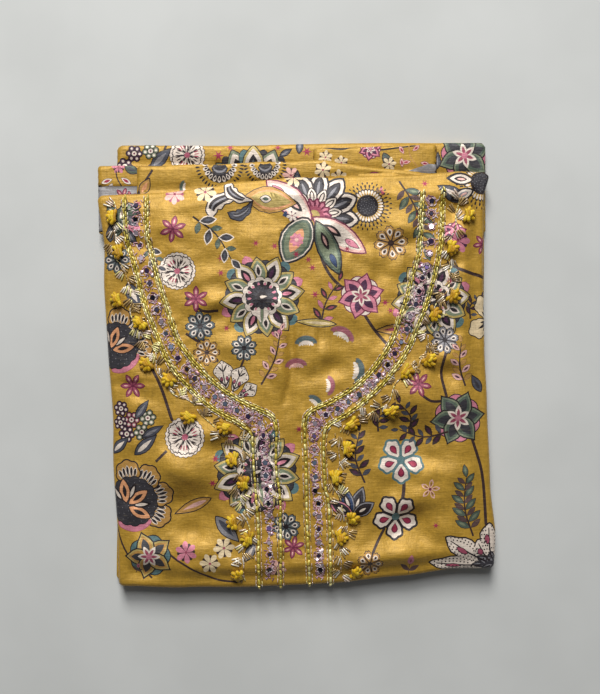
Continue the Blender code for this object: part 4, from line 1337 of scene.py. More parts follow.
def silk_thread():
    """Embroidery thread: fine twisted strands with a sheen."""
    thread = Finish("silk_thread", Sheen_Weight=0.35, Sheen_Roughness=0.35)
    strand = thread.noise(3000, 2.0, 0.6)
    colour = thread.tint(strand.between(0.3, 0.7), thread.colours("tint"), grey(0.62), "MULTIPLY")
    thread.surface("Base Color", colour)
    thread.surface("Roughness", 0.42 + 0.2 * strand)
    thread.raise_by(strand, 0.05, 0.6)
    return thread.material


def table_top():
    """A pale matt table."""
    top = Finish("table_top")
    cloud = top.noise(9, 3.0, 0.5)
    colour = top.tint(cloud.between(0.3, 0.7), (0.58, 0.59, 0.575, 1.0), (0.63, 0.64, 0.625, 1.0))
    top.surface("Base Color", colour)
    top.surface("Roughness", 0.7 + 0.15 * cloud)
    return top.material


# ---------------- the stage

TABLE_HALF = 9000.0      # wide enough for every side view
TABLE_LEVEL = -0.05


def lay_table():
    """A plain pale table."""
    corners = [(x * TABLE_HALF, y * TABLE_HALF, TABLE_LEVEL) for x, y in ((-1, -1), (1, -1), (1, 1), (-1, 1))]
    new_mesh("table", corners, [[0, 1, 2, 3]], table_top(), smooth=False)


def soft_light(name, place, aim, size, power, colour=(1.0, 1.0, 1.0)):
    """A square soft light; places in millimetres."""
    data = bpy.data.lights.new(name, "AREA")
    data.shape = "SQUARE"
    data.size = size * METRE
    data.energy = power
    data.color = colour
    light = bpy.data.objects.new(name, data)
    light.location = Vector(place) * METRE
    light.rotation_euler = (Vector(aim) - Vector(place)).to_track_quat("-Z", "Y").to_euler()
    bpy.context.collection.objects.link(light)


def light_stage():
    """A window's soft light from beyond the neck, and a weak even fill."""
    soft_light("window", (-220, 2010, 1600), (0, 0, 0), 900, 56.0, (1.0, 0.99, 0.97))
    soft_light("ceiling", (-100, 1470, 2250), (0, 0, 0), 850, 25.0)
    world = bpy.data.worlds.new("room")
    world.use_nodes = True
    world.node_tree.nodes["Background"].inputs["Color"].default_value = (0.95, 0.97, 1.0, 1.0)
    world.node_tree.nodes["Background"].inputs["Strength"].default_value = 0.09
    bpy.context.scene.world = world


lay_table()
light_stage()

# ---------------- cloth pieces

SILK = printed_silk()

# Broad soft rolls of the front: where each lies, the way it runs in degrees (it falls to the right of
# that, so a negative fall rises), half its length and width, and how steeply it falls.
ROLLS = (
    (-105, 95, 6, 22, 9, 2.8), (-60, 41, 15, 13, 9, 5.4), (-7, 4, 88, 26, 7, 3.6),
    (25, 93, 20, 12, 10, 3.0), (25, 3, 30, 9, 9, 3.6), (68, 29, 10, 11, 8, 3.8), (82, 95, 5, 12, 9, 3.2),
    (115, 122, 0, 12, 9, 3.4), (111, -1, -10, 11, 9, 4.0), (87, -38, -4, 20, 20, 9.0),
    (44, -41, 0, 10, 10, 3.0), (-82, -92, 4, 28, 23, 9.6), (-60, -57, 0, 14, 10, 3.8),
    (-118, -150, -6, 20, 15, 7.0), (44, -112, 10, 10, 10, 4.2), (85, -108, 6, 15, 12, 5.8),
    (54, -155, 5, 44, 12, 6.0), (-16, -142, 20, 10, 9, 2.8), (-40, -159, 2, 60, 12, 5.5),
    (124, -148, 8, 18, 9, 3.4), (-68, 70, 10, 14, 9, -2.0), (-31, 100, 0, 18, 9, -1.0),
    (-20, 52, 0, 12, 9, -1.6), (59, 85, -20, 12, 10, -2.4), (14, -12, 20, 9, 8, -2.0),
    (-120, -26, 0, 10, 9, -2.4), (-124, -106, 0, 9, 8, -2.2), (-76, -131, 8, 20, 11, -3.4),
    (100, -75, -4, 26, 9, -3.0), (77, -134, -4, 24, 11, -3.4), (-23, -97, 0, 12, 10, -2.0),
    (133, 74, 0, 9, 9, -2.0), (-49, 22, 20, 12, 9, -2.2), (16, 22, 88, 13, 2.6, 1.6),
    (-2, 14, -92, 20, 3.2, 1.6), (130, 60, 88, 60, 7, 1.8), (-138, 10, -88, 40, 6, 1.8),
    (-30, 122, 4, 50, 9, 1.2), (60, 122, 4, 40, 9, 1.0),
)
# Small creases of the front.
CREASES = (
    (-118, 96, -76, 80, 9, 0.35), (-58, 132, -48, 96, 10, -0.4), (-20, 96, -34, 74, 12, 0.35),
    (62, 112, 60, 60, 8, -0.45), (86, 100, 76, 70, 8, 0.4), (0, 6, -8, -28, 5, -0.5),
    (52, -2, 24, -18, 7, 0.35), (26, -6, 60, 14, 9, -0.35), (-46, 30, -70, 0, 9, -0.4),
    (-110, 28, -128, 12, 8, 0.45), (-128, -22, -108, -26, 6, -0.5), (-112, -72, -70, -86, 12, 0.4),
    (-98, -120, -64, -132, 11, -0.4), (-60, -104, -44, -128, 8, 0.35), (110, 6, 134, -4, 9, 0.45),
    (118, 24, 142, 30, 8, -0.45), (112, 52, 140, 60, 7, 0.5), (110, 72, 142, 82, 6, -0.5),
    (112, 96, 140, 104, 7, 0.45), (92, -60, 72, -92, 10, -0.4), (108, -92, 132, -110, 10, 0.4),
    (86, -128, 126, -140, 12, -0.4), (40, -140, 58, -120, 8, 0.3), (100, -40, 92, -18, 8, 0.4),
    (-6, -60, -6, -96, 6, -0.35), (0, -104, -2, -150, 6, 0.35),
)
# Pressed creases: sharp lines left from earlier folding.
PRESSED = (
    (1.2, 60, 1.2, -2, 2.4, 0.34), (15.4, 36, 14.0, -8, 2.4, -0.34), (79.4, 92, 78.6, 50, 2.4, 0.30),
    (-10.6, -30, -4.6, -12, 2.8, -0.5), (-128, -14, -100, -13, 2.6, -0.4),
)
# Ripples that run out over the front's edges.
EDGE_RIPPLES = (
    (138, 77, 158, 75, 3.2, -1.3), (140, 48, 158, 49, 2.8, -1.2), (140, 33, 158, 32, 3.0, -1.1),
    (141, 14, 158, 15, 2.8, -1.0), (136, 84, 156, 88, 9, -0.7), (134, 62, 156, 60, 8, 0.5),
    (134, 40, 156, 44, 8, -0.8), (136, 12, 156, 8, 9, 0.5), (134, -40, 156, -46, 12, -0.6),
    (-130, 40, -156, 46, 11, -0.6), (-120, -16, -146, -14, 7, -0.9), (-120, -60, -146, -64, 12, 0.5),
    (-90, -160, -92, -180, 14, 0.4), (96, -140, 98, -170, 12, -0.6), (30, 128, 32, 150, 14, 0.4),
)
# The bead rows either side of each neck band, from the shoulder to the hem end.
OUTER_LEFT = (
    (-128.6, 125.0), (-126.6, 96.3), (-124.3, 85.9), (-119.1, 70.2), (-113.9, 49.4), (-106.5, 28.6),
    (-101.3, 17.0), (-94.0, 0.6), (-79.0, -17.5), (-61.1, -33.4), (-41.8, -43.8), (-33.4, -52.0),
    (-32.1, -63.6), (-30.7, -89.6), (-28.4, -114.9), (-27.7, -168.0),
)
INNER_LEFT = (
    (-111.7, 124.8), (-110.9, 101.5), (-108.7, 85.9), (-104.3, 70.2), (-98.3, 49.4), (-91.6, 28.6),
    (-86.6, 16.0), (-71.5, -3.0), (-53.0, -19.5), (-35.1, -30.2), (-18.6, -38.0), (-15.0, -48.7),
    (-15.0, -77.0), (-12.1, -102.2), (-11.6, -168.0),
)
INNER_RIGHT = (
    (93.9, 128.4), (92.4, 101.5), (90.5, 80.7), (86.1, 65.0), (82.0, 49.4), (76.4, 33.8), (71.2, 18.2),
    (57.1, -3.4), (41.5, -18.0), (25.8, -27.6), (10.0, -35.4), (6.4, -45.2), (7.3, -77.0), (8.0, -114.9),
    (10.2, -168.0),
)
OUTER_RIGHT = (
    (109.1, 130.2), (108.4, 111.9), (107.6, 91.1), (104.6, 75.4), (100.9, 59.8), (96.5, 44.2),
    (89.6, 27.6), (84.0, 14.0), (74.9, -1.1), (62.0, -16.2), (46.7, -30.0), (32.5, -39.8), (23.4, -45.9),
    (20.4, -55.9), (21.4, -89.6), (24.4, -108.2), (25.8, -166.0),
)


def route_points(route, spacing, start=0.0, aside=0.0):
    """Even places along a smooth route moved aside (left is positive), their ways and their lengths."""
    line = smooth_line([complex(*point) for point in route], 10)
    line = line + 1j * directions(line) * aside
    line = np.column_stack((line.real, line.imag))
    length = lengths_along(line)
    wanted = np.arange(start, length[-1], spacing)
    ways = points_at(line, length, wanted + 0.4) - points_at(line, length, wanted - 0.4)
    return points_at(line, length, wanted), ways, wanted


BEAD_LINES = [route_points(route, 2.5) for route in (OUTER_LEFT, INNER_LEFT, INNER_RIGHT, OUTER_RIGHT)]
PUCKER_STEP = 8.0        # from one pucker to the next
PUCKER_REACH = 7.0       # how far they run out from a bead row
PUCKER_HEIGHT = 0.42


def puckers(places):
    """Small ripples across the bead rows, where their stitches draw the cloth in."""
    if len(places) > CHUNK:
        return np.concatenate([puckers(part) for part in np.array_split(places, len(places) // CHUNK + 1)])
    lift = np.zeros(len(places))
    for phase, (line, ways, lengths) in enumerate(BEAD_LINES):
        near = np.argmin(((places[:, None] - line) ** 2).sum(axis=2), axis=1)
        apart = places - line[near]
        along = lengths[near] + (apart * unit(ways)[near]).sum(axis=1)
        away = np.hypot(apart[:, 0], apart[:, 1])
        strong = (0.6 + 0.4 * np.sin(along / 19.0 + 1.7 * phase)) * np.exp(-(away / PUCKER_REACH) ** 2)
        lift += strong * np.sin(TAU * along / PUCKER_STEP + phase + 1.6 * np.sin(along / 12.0))
    return lift


# How many times deeper than their tables say the rolls and creases lie.
ROLL_DEPTH = 1.45
CREASE_DEPTH = 1.5
PRESSED_DEPTH = 1.9


def front_height(places, inside):
    """Top of the front: the crown with its folds, level at the seat, plus the ripples that cross the edge."""
    crown = crown_share(places)
    body = (FRONT_CROWN - FRONT_EDGE) * crown + ridge(places, FOLDS) * np.sqrt(crown)
    body = body + ROLL_DEPTH * roll(places, ROLLS)
    body = body + CREASE_DEPTH * ridge(places, CREASES) + PRESSED_DEPTH * ridge(places, PRESSED)
    body = body + 0.9 * unevenness(places, 9.0) + 0.3 * unevenness(places[:, ::-1] + 40.0, 4.6)
    body = body + 0.8 * unevenness(places[:, ::-1] + 90.0, 15.0) + PUCKER_HEIGHT * puckers(places)
    return FRONT_EDGE + smooth_between(0.0, 14.0, inside) * body + ridge(places, EDGE_RIPPLES)


FRONT = LaidCloth(FRONT_CORNERS, FRONT_BOWS, front_height, support_height)


def root(piece, slot_name, *nodes):
    """Let a piece ride on the suit, in place of its solids; slot_name is not used."""
    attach(piece, "root")
    if nodes:
        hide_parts(*nodes)


def lay_front():
    """The kameez front."""
    piece = printed_cloth("front_cloth", FRONT, front_print(), SILK)
    root(piece, "printed_silk", "kameez_front")


lay_front()

# ---------------- the folds that show along the back


def back_print():
    """What shows of the print on the kameez back's fold."""
    sheet = Print()
    stem(sheet, ((-122, 120), (-117, 132), (-108, 146)), 1.4)
    strew(sheet, (
        (half_roundel, -57.5, 150.0, -92, 13.6), (half_roundel, -23.5, 150.5, -84, 12.0),
        (crescent_pair, -80, 133, 180, "moss", "bone", 6.5),
        (leaf, -117, 128, 60, 13, 7, "tan", "ink", "peach"),
    ))
    for x, y, body in ((20, 146, "cream"), (32, 140, "cream"), (-4, 142, "blush")):
        soft_flower(sheet.spot(x, y, x), body, "bark", 6.6)
    strew(sheet, (
        (leaf, 64, 142, 176, 11, 4.6, "rose", "bark", "tan", 0.2),
        (leaf, 96, 140, -12, 9, 3.8, "tan", "bark", "rose", 0.2), (bud, 82, 138, 40, 3.2),
        (leaf, 0, 132, 86, 13, 5.6, "slate", "ink", "stone"), (star_flower, 126, 132, 20, "pink", 15.0),
    ))
    return sheet


def left_sleeve_print():
    """The print on the left folded piece, and the unprinted edge of the cloth below it."""
    sheet = Print()
    for x, y, turn in ((-139, 139.5, 200), (-132, 140.5, -32), (-143, 129, 60)):
        at = sheet.spot(x, y, turn)
        at.lay(petal(0, 8.4, 3.6, 0.55, 0.7, 0.8), "bone", 0.3, "bark")
        at.lay(petal(1.4, 6.6, 2.0, 0.55, 0.7, 0.8), "ruby")
    strew(sheet, (
        (soft_flower, -134, 149, 0, "pink", "bark", 5.4),
        (leaf, -129, 149, -24, 11, 6, "moss", "bark", "slate"),
    ))
    stem(sheet, ((-136, 146), (-135, 140), (-131, 133)), 0.8)
    band = sheet.spot(0, 0)
    band.lay(np.array((-160 + 100j, 20 + 100j, 20 + 134.4j, -160 + 134.4j)), "selvedge")
    strew(sheet, ((lily, -131, 126.5, 10, 7.0), (lily, -125.5, 125.0, 40, 6.0)))
    return sheet


def right_sleeve_print():
    """The print on the right folded piece."""
    sheet = Print()
    top = sheet.spot(0, 0)
    wave = smooth_line([20 + 164j, 34 + 162.4j, 46 + 164.6j, 60 + 161.6j, 76 + 163.2j, 90 + 165j], 5)
    top.lay(stroke(wave, 1.8, 1.0), "ink")
    strew(sheet, (
        (star_flower, 56, 162.5, 20, "pink", 8.0), (leaf, 66, 159, -64, 11, 5.4, "moss", "bark", "slate"),
    ))
    for x, y, turn in ((81, 159, 120), (88, 161, 40), (86, 153, 190), (94, 152, -10), (80, 149, 96)):
        at = sheet.spot(x, y, turn)
        at.lay(petal(0, 6.2, 2.9, 0.55, 0.7, 0.8), "blush", 0.3, "wine")
        at.lay(petal(1.2, 4.8, 1.5, 0.55, 0.7, 0.8), "ruby")
    stem(sheet, ((85, 165), (86, 157), (92, 148)), 0.8, None, "tan")
    for x, y in ((22, 156), (34, 152), (70, 151)):
        soft_flower(sheet.spot(x, y, x), "cream", "bark", 5.6)
    top.lay(np.array((80 + 144.5j, 108 + 144j, 108 + 151.6j, 100 + 151.2j)), "selvedge")
    return sheet


def upper_salwar_print():
    """The print on the salwar's upper fold."""
    sheet = Print()
    stem(sheet, ((-120, 140), (-112, 150), (-102, 158), (-98, 168)), 1.4)
    stem(sheet, ((104, 153), (114, 152), (124, 150)), 1.2)
    lace_round(sheet.spot(-82.7, 158.4), 13.4)
    for turn, long in ((131, 43), (49, 43), (111, 45), (69, 45), (90, 46)):
        petals = sheet.spot(-32.6, 120.0, turn)
        petals.within(0, 0, 10).lay(petal(20, 43, 9, 0.7, 0.8, 0.6), "charcoal" if turn % 2 else "teal", 0.5)
        eye_petal(petals, 18, long, 16.0, "sage" if turn % 2 else "straw", "bone", "ink", "pewter")
    star_flower(sheet.spot(127.5, 158.0, 22), "green", 20.0)
    for x, y, turn, long in ((-110, 149, 44, 20), (106, 148, 84, 12), (2, 160, 84, 11), (-12, 158, 30, 9)):
        leaf(sheet.spot(x, y, turn), long, long * 0.42, "slate", "ink", "stone")
    for x, y, body in ((-122.8, 159.5, "plum"), (-110.4, 161.5, "sage"), (-130, 150, "plum")):
        blossom(sheet.spot(x, y, x), body, 6.2)
    for x, y, size in ((-59, 158, 3.6), (8, 161, 3.4), (-50, 164, 2.6), (-14, 164, 2.4)):
        spark(sheet.spot(x, y), size)
    return sheet


def back_fold_height(places, inside):
    """Top of the kameez back's fold, a little uneven."""
    settle = smooth_between(0.0, 5.0, inside)
    soft = ((-118, 136, -60, 128, 9, -0.35), (-84, 131, -20, 126, 6, 0.30), (20, 146, 70, 138, 8, 0.30),
            (-118, 130.5, 136, 147.5, 7, -1.3), (-78, 139, -28, 137, 5, -0.6))
    return back_height(places) + settle * (0.15 * unevenness(places, 9.0) + ridge(places, soft))


def left_sleeve_height(places, inside):
    """Top of the left piece: the printed layer ends in a fold over the plain edge."""
    step = 0.9 * smooth_between(133.6, 135.2, places[:, 1])
    return SLEEVE_TOP - 0.9 + step + smooth_between(0, 4, inside) * 0.12 * unevenness(places, 8.0)


def right_sleeve_height(places, inside):
    """Top of the right piece, sunk towards its right end."""
    sink = 0.5 * smooth_between(92.0, 104.0, places[:, 0])
    sink = sink + ridge(places, ((14, 148, 104, 145, 7, 1.2),))
    return SLEEVE_TOP - sink + smooth_between(0, 4, inside) * 0.15 * unevenness(places, 8.0)


def upper_salwar_height(places, inside):
    """Top of the salwar's upper fold."""
    gutter = ((-132, 153.0, -60, 151.5, 7, -1.3), (-60, 151.5, 139, 143.5, 7, -1.3))
    settle = smooth_between(0, 5, inside)
    return SALWAR_TOP + settle * (0.15 * unevenness(places, 10.0) + ridge(places, gutter))


def lip_at(height):
    """Where an edge curls down to: one height all round."""
    return lambda edge: np.full(len(edge), height)


def lay_folds():
    """The four folds that show beyond the front's neck edge."""
    laid = (
        ("kameez_back_fold", "kameez_back", BACK_CORNERS, BACK_BOWS, back_fold_height,
         lambda edge: back_height(edge) - FOLD, back_print(), (0.262, 0.05), 0.5),
        ("sleeve_fold_left", "sleeve_piece_left", LEFT_CORNERS, {}, left_sleeve_height,
         lip_at(SLEEVE_TOP - FOLD), left_sleeve_print(), (0.159, 0.053), 0.5),
        ("sleeve_fold_right", "sleeve_piece_right", RIGHT_CORNERS, RIGHT_BOWS, right_sleeve_height,
         lip_at(SLEEVE_TOP - FOLD), right_sleeve_print(), (0.095, 0.067), 0.5),
        ("salwar_upper_cloth", "salwar_upper_fold", UPPER_CORNERS, {"neck": SALWAR_BOWS["neck"]},
         upper_salwar_height, lambda edge: np.where(edge[:, 1] < TUCK_Y + 1.0, SALWAR_TOP - 1.5, 5.0),
         upper_salwar_print(), (0.281, 0.07), 0.8),
    )
    for name, node, corners, bows, height, lip, pattern, flat, wall in laid:
        reach = 2.6 if node == "salwar_upper_fold" else 1.2
        cloth = LaidCloth(corners, bows, height, lip, reach=reach, wall=wall)
        piece = printed_cloth(name, cloth, pattern, SILK, 3.0)
        root(piece, "printed_silk", node)


def lay_underside():
    """The salwar's lower fold: flat on the table, with its edges curled up."""
    cloth = LaidCloth(SALWAR_CORNERS, SALWAR_BOWS, lambda places, inside: np.zeros(len(places)),
                      lip_at(4.7), -1, reach=3.0, wall=1.0)
    piece = printed_cloth("salwar_lower_cloth", cloth, spread_print(300, 350, 11), SILK, 6.0)
    root(piece, "printed_silk", "salwar_lower_fold")


# ---------------- the hidden layers' folded edges

# Each lip is one bundle of folded layers: its share of the way out from the front's outline to the
# salwar's, its top and bottom, and how far it wanders in and out.
HIDDEN_LIPS = (
    (0.05, 8.85, 8.10, 0.9), (0.25, 8.05, 7.35, 1.1), (0.50, 7.30, 6.55, 0.8), (0.75, 6.50, 5.80, 1.1),
    (1.00, 5.75, 5.05, 0.7),
)
EDGE_INKS = ("slate", "bone", "rose", "sage", "plum", "ink", "blush", "moss")


def lay_hidden_layers():
    """One rounded body under the front, its edge split into thin folded lips."""
    count = 420

    def even(loop):
        """The loop again, with its points evenly spaced and the same number for every loop."""
        closed = np.concatenate((loop, loop[:1]))
        length = lengths_along(closed)
        return points_at(closed, length, np.linspace(0.0, length[-1], count, endpoint=False))

    front, salwar = even(outline(FRONT_CORNERS, FRONT_BOWS)), even(outline(SALWAR_CORNERS, SALWAR_BOWS))
    around = np.arange(count) / count * TAU
    rng = np.random.default_rng(5)
    rings, tints = [], []

    def ring(share, inset, height):
        """Add a ring of points, a share of the way out and moved in, kept clear of the folds at the neck."""
        mixed = (1 - share) * front + share * salwar
        loop = mixed - outward_normals(mixed, 4) * np.reshape(inset, (-1, 1))
        loop[:, 1] = np.minimum(loop[:, 1], 118.0) if height > 5.7 else loop[:, 1]
        rings.append(np.column_stack((loop, np.full(count, height))))

    def run_tints():
        """A row of print colours as a folded edge shows them: mostly ground, with bits of motifs."""
        row = np.tile(INKS["ground"], (count, 1))
        place = 0
        while place < count:
            place += int(rng.integers(6, 26))
            ink = EDGE_INKS[rng.integers(len(EDGE_INKS))]
            long = int(rng.integers(1, 6))
            row[place:place + long + 2] = INKS["ink"]
            row[place + 1:place + long + 1] = INKS[ink]
            place += long
        return row

    ring(0.0, 9.0, 11.4)
    ring(0.0, 5.0, 9.2)
    for share, top, bottom, sway in HIDDEN_LIPS:
        wander = sway * (np.sin(around * rng.integers(3, 6) + rng.uniform(0, 6))
                         + 0.6 * np.sin(around * rng.integers(9, 15) + rng.uniform(0, 6)))
        inset = 2.2 + 0.5 * wander
        half, middle = (top - bottom) / 2, (top + bottom) / 2
        tone = run_tints()
        for angle in np.radians((90, 62, 34, 0, -34, -62, -90)):
            ring(share, inset + 1.6 * (1 - math.cos(angle)), middle + half * math.sin(angle))
            tints.append(tone)
    ring(1.0, 6.0, 4.9)
    ring(1.0, 8.0, 2.6)
    points = np.concatenate(rings)
    faces = side_faces(len(rings), count, False)
    colours = [tint for level in range(len(rings) - 1)
               for tint in tints[min(max(level - 2, 0), len(tints) - 1)]]
    cap = list(range(count))
    faces += [cap, [(len(rings) - 1) * count + corner for corner in cap[::-1]]]
    colours += [INKS["ground"]] * 2
    piece = new_mesh("hidden_layers", points, faces, SILK, colours)
    root(piece, "printed_silk", "inner_folds")


lay_folds()
lay_underside()
lay_hidden_layers()

# ---------------- beadwork and thread

BEAD_TONES = {name: linear(shade) for name, shade in {
    "gold": (222, 200, 86), "olive": (196, 178, 66), "bright": (248, 236, 160),
    "silver": (232, 222, 204), "pale": (240, 216, 196), "dull": (150, 124, 88), "tan": (196, 164, 104),
    "night": (38, 34, 58), "steel": (120, 132, 156), "frost": (226, 208, 222), "violet": (86, 68, 112),
    "lilac": (202, 162, 178), "mauve": (132, 86, 116), "petal": (222, 168, 178), "milk": (240, 220, 226),
    "yolk": (236, 190, 12), "amber": (206, 154, 8), "lemon": (246, 208, 36),
}.items()}


def tones(rng, count, names):
    """Random tones out of a few, each a little lighter or darker."""
    table = np.array([BEAD_TONES[name] for name in names])
    return table[rng.integers(len(names), size=count)] * rng.uniform(0.8, 1.15, size=(count, 1))


def turned(profile, sides):
    """A body turned round the x axis: pairs of place and radius; closed with flat ends."""
    angle = TAU * np.arange(sides) / sides
    points = np.array([(x, r * math.cos(a), r * math.sin(a)) for x, r in profile for a in angle])
    faces = side_faces(len(profile), sides, False)
    faces.append(list(range(sides)))
    faces.append([(len(profile) - 1) * sides + k for k in range(sides)][::-1])
    return points, faces


def tube(line, radii, sides):
    """A round bar along a line of points, with a radius at each."""
    line = np.asarray(line, float)
    ahead = unit(np.gradient(line, axis=0))
    side = unit(np.cross(ahead, (0.0, 0.0, 1.0)))
    up = np.cross(side, ahead)
    angle = TAU * np.arange(sides) / sides
    points = (line[:, None] + radii[:, None, None] * (side[:, None] * np.cos(angle)[None, :, None]
                                                      + up[:, None] * np.sin(angle)[None, :, None]))
    faces = side_faces(len(line), sides)
    faces.append(list(range(sides))[::-1])
    faces.append([(len(line) - 1) * sides + k for k in range(sides)])
    return points.reshape(-1, 3), faces


BUGLE = turned(((-0.5, 0.78), (-0.47, 0.98), (0.0, 1.0), (0.47, 0.98), (0.5, 0.78)), 8)
STITCH = turned(((-0.5, 0.12), (-0.36, 0.8), (0.0, 1.0), (0.36, 0.8), (0.5, 0.12)), 6)


def plate(sides, rim):
    """A small flat plate with a bevelled rim, its face up along z."""
    angle = TAU * (np.arange(sides) + 0.5) / sides
    rows = ((1.0, 0.0), (1.0, 0.55), (rim, 0.9))
    points = [(r * math.cos(a), r * math.sin(a), z) for r, z in rows for a in angle]
    faces = side_faces(len(rows), sides)
    faces.append([2 * sides + k for k in range(sides)])
    faces.append(list(range(sides))[::-1])
    return np.array(points), faces


MIRROR = plate(5, 0.94)
SEQUIN = plate(8, 0.45)


def frames_on_front(places, ways, lift):
    """Points over the front and their axes: along the way, across it, and out of the cloth."""
    ways = unit(ways)
    across = left_of(ways)
    along = unit(FRONT.place(places + 0.5 * ways) - FRONT.place(places - 0.5 * ways))
    beside = FRONT.place(places + 0.5 * across) - FRONT.place(places - 0.5 * across)
    out = unit(np.cross(along, beside))
    points = FRONT.place(places) + out * np.reshape(lift, (-1, 1))
    return points, np.stack((along, np.cross(out, along), out), axis=1)


class Pile:
    """Many small copies of a few forms, gathered into one mesh."""

    def __init__(self):
        self.points, self.faces, self.tints, self.count = [], [], [], 0

    def add(self, form, points, axes, sizes, tints):
        """Copies of a form at points, turned to their axes and sized along them."""
        shape, faces = form
        sizes = np.broadcast_to(sizes, (len(points), 3))
        placed = points[:, None, :] + (shape[None] * sizes[:, None, :]) @ axes
        self.points.append(placed.reshape(-1, 3))
        for copy in range(len(points)):
            start = self.count + copy * len(shape)
            self.faces += [[start + corner for corner in face] for face in faces]
        self.tints += [tint for tint in tints for _ in faces]
        self.count += len(points) * len(shape)

    def finish(self, name, material, smooth=True):
        """One object."""
        return new_mesh(name, np.concatenate(self.points), self.faces, material, self.tints, smooth, "tint")


NECK_END = -46.0         # below this the bands run straight down as the placket
MIRROR_SPACING = 9.9
# Mirror tints by turns: partly painted reflection, the dark tones standing for mirrors that reflect dark and
# the pale ones for mirrors that catch the light
MIRROR_TONES = ("night", "violet", "steel", "night", "frost", "steel", "violet", "night", "frost", "steel")


def bead_sizes(rng, count, shortest, longest, thick, high=None):
    """Sizes of long beads or stitches: random lengths, and one thickness, or one width and one height."""
    return np.column_stack((rng.uniform(shortest, longest, count), np.full(count, thick),
                            np.full(count, thick if high is None else high)))


BEAD_STEP = 4.3          # from bead to bead along a row
NECK_COLUMNS = 0.86      # how far the neck's two columns of beads are off the row's middle
SILVER_ASIDE = 2.2       # how far the silver lines are off the row's middle


def bead_rows(pile, silver, rng, route):
    """A bead row: long glass beads along it, in two columns at the neck, between thin silver lines."""
    places, ways, _ = route_points(route, BEAD_STEP)
    neck = places[:, 1] > NECK_END
    for aside, chosen, thick in (
        (NECK_COLUMNS, neck, 0.70), (-NECK_COLUMNS, neck, 0.66), (0.0, ~neck, 1.00),
    ):
        shifted = places + left_of(unit(ways)) * aside
        if aside < 0:
            shifted = shifted + 0.45 * BEAD_STEP * unit(ways)
        wobble = rng.normal(0, 0.04, size=(len(places), 2))
        points, axes = frames_on_front((shifted + wobble)[chosen], (ways + wobble * 2)[chosen], thick + 0.25)
        pile.add(BUGLE, points, axes, bead_sizes(rng, len(points), 4.0, 4.3, thick),
                 tones(rng, len(points), ("gold", "gold", "olive", "bright", "gold", "bright")))
    for aside in (-SILVER_ASIDE, SILVER_ASIDE):
        places, ways, _ = route_points(route, 3.1, 0.8 if aside > 0 else 0.0, aside)
        kept = rng.uniform(size=len(places)) > 0.10
        jitter = rng.normal(0, 0.10, size=(len(places), 2))
        points, axes = frames_on_front((places + jitter)[kept], (ways + jitter)[kept], 0.62)
        silver.add(BUGLE, points, axes, bead_sizes(rng, len(points), 2.2, 3.0, 0.36),
                   tones(rng, len(points), ("silver", "pale", "bright", "dull", "pale")))


def band_middle(inner, outer):
    """The line midway between a band's two bead rows, and the band's width along it."""
    lines = [route_points(route, 1.0)[0] for route in (inner, outer)]
    first, second = (points_at(line, np.linspace(0, 1, len(line)), np.linspace(0, 1, 500)) for line in lines)
    nearest = np.array([second[np.argmin(np.linalg.norm(second - point, axis=1))] for point in first])
    return 0.5 * (first + nearest), np.linalg.norm(first - nearest, axis=1)


def mirror_row(mirrors, rings, rng, middle):
    """Mirrors along the middle of a band, each framed by straight stitches; gives the mirrors' places."""
    length = lengths_along(middle)
    wanted = np.arange(6.0, length[-1] - 8.0, MIRROR_SPACING)
    at = points_at(middle, length, wanted)
    ahead = points_at(middle, length, wanted + 1) - at
    at = at + rng.normal(0, 0.35, size=at.shape)
    ahead = ahead + rng.normal(0, 0.15, size=ahead.shape)
    # painted reflection in part: each mirror gets a dark or pale tint
    tint = np.array([BEAD_TONES[MIRROR_TONES[(k * 7 + k // 5) % len(MIRROR_TONES)]] for k in range(len(at))])
    points, axes = frames_on_front(at, ahead, 0.35)
    tip = rng.normal(0, 0.11, size=(len(at), 2))
    face = unit(axes[:, 2] + axes[:, 0] * tip[:, :1] + axes[:, 1] * tip[:, 1:])
    beside = unit(np.cross(face, axes[:, 0]))
    size = rng.uniform(1.65, 2.15, len(at))[:, None] * (1.0, 1.0, 0.4)
    mirrors.add(MIRROR, points, np.stack((np.cross(beside, face), beside, face), axis=1), size, tint)
    # each mirror's frame of straight stitches, and for some a looser second one
    for sides, reach, share, names in (
        (5, 2.3, 1.0, ("milk", "petal", "milk", "petal")),
        (8, 3.5, 0.45, ("lilac", "mauve", "petal", "milk")),
    ):
        angle = TAU * (np.arange(sides) + rng.uniform(size=(len(at), 1))) / sides
        angle = angle + rng.normal(0, 0.06, angle.shape)
        turn = np.stack((np.cos(angle), np.sin(angle)), axis=2)
        spots = at[:, None] + turn * reach * rng.uniform(0.9, 1.1, angle.shape)[..., None]
        along = np.stack((-turn[..., 1], turn[..., 0]), axis=2)
        some = (rng.uniform(size=len(at)) < share)[:, None] & (rng.uniform(size=angle.shape) < 0.94)
        points, axes = frames_on_front(spots[some], along[some], 0.55)
        rings.add(STITCH, points, axes, bead_sizes(rng, len(points), 2.6, 3.2, 0.48),
                  tones(rng, len(points), names))
    return at


FILL_TRIES = 5200        # stitches that a band would have if its fill were full
PLACKET_TOP = -52.0      # below this the fill is kept to the placket's middle
BAND_MARGIN = 3.2        # from a band's edge to its fill
MIRROR_CLEAR = 2.9       # from a mirror's middle to the fill


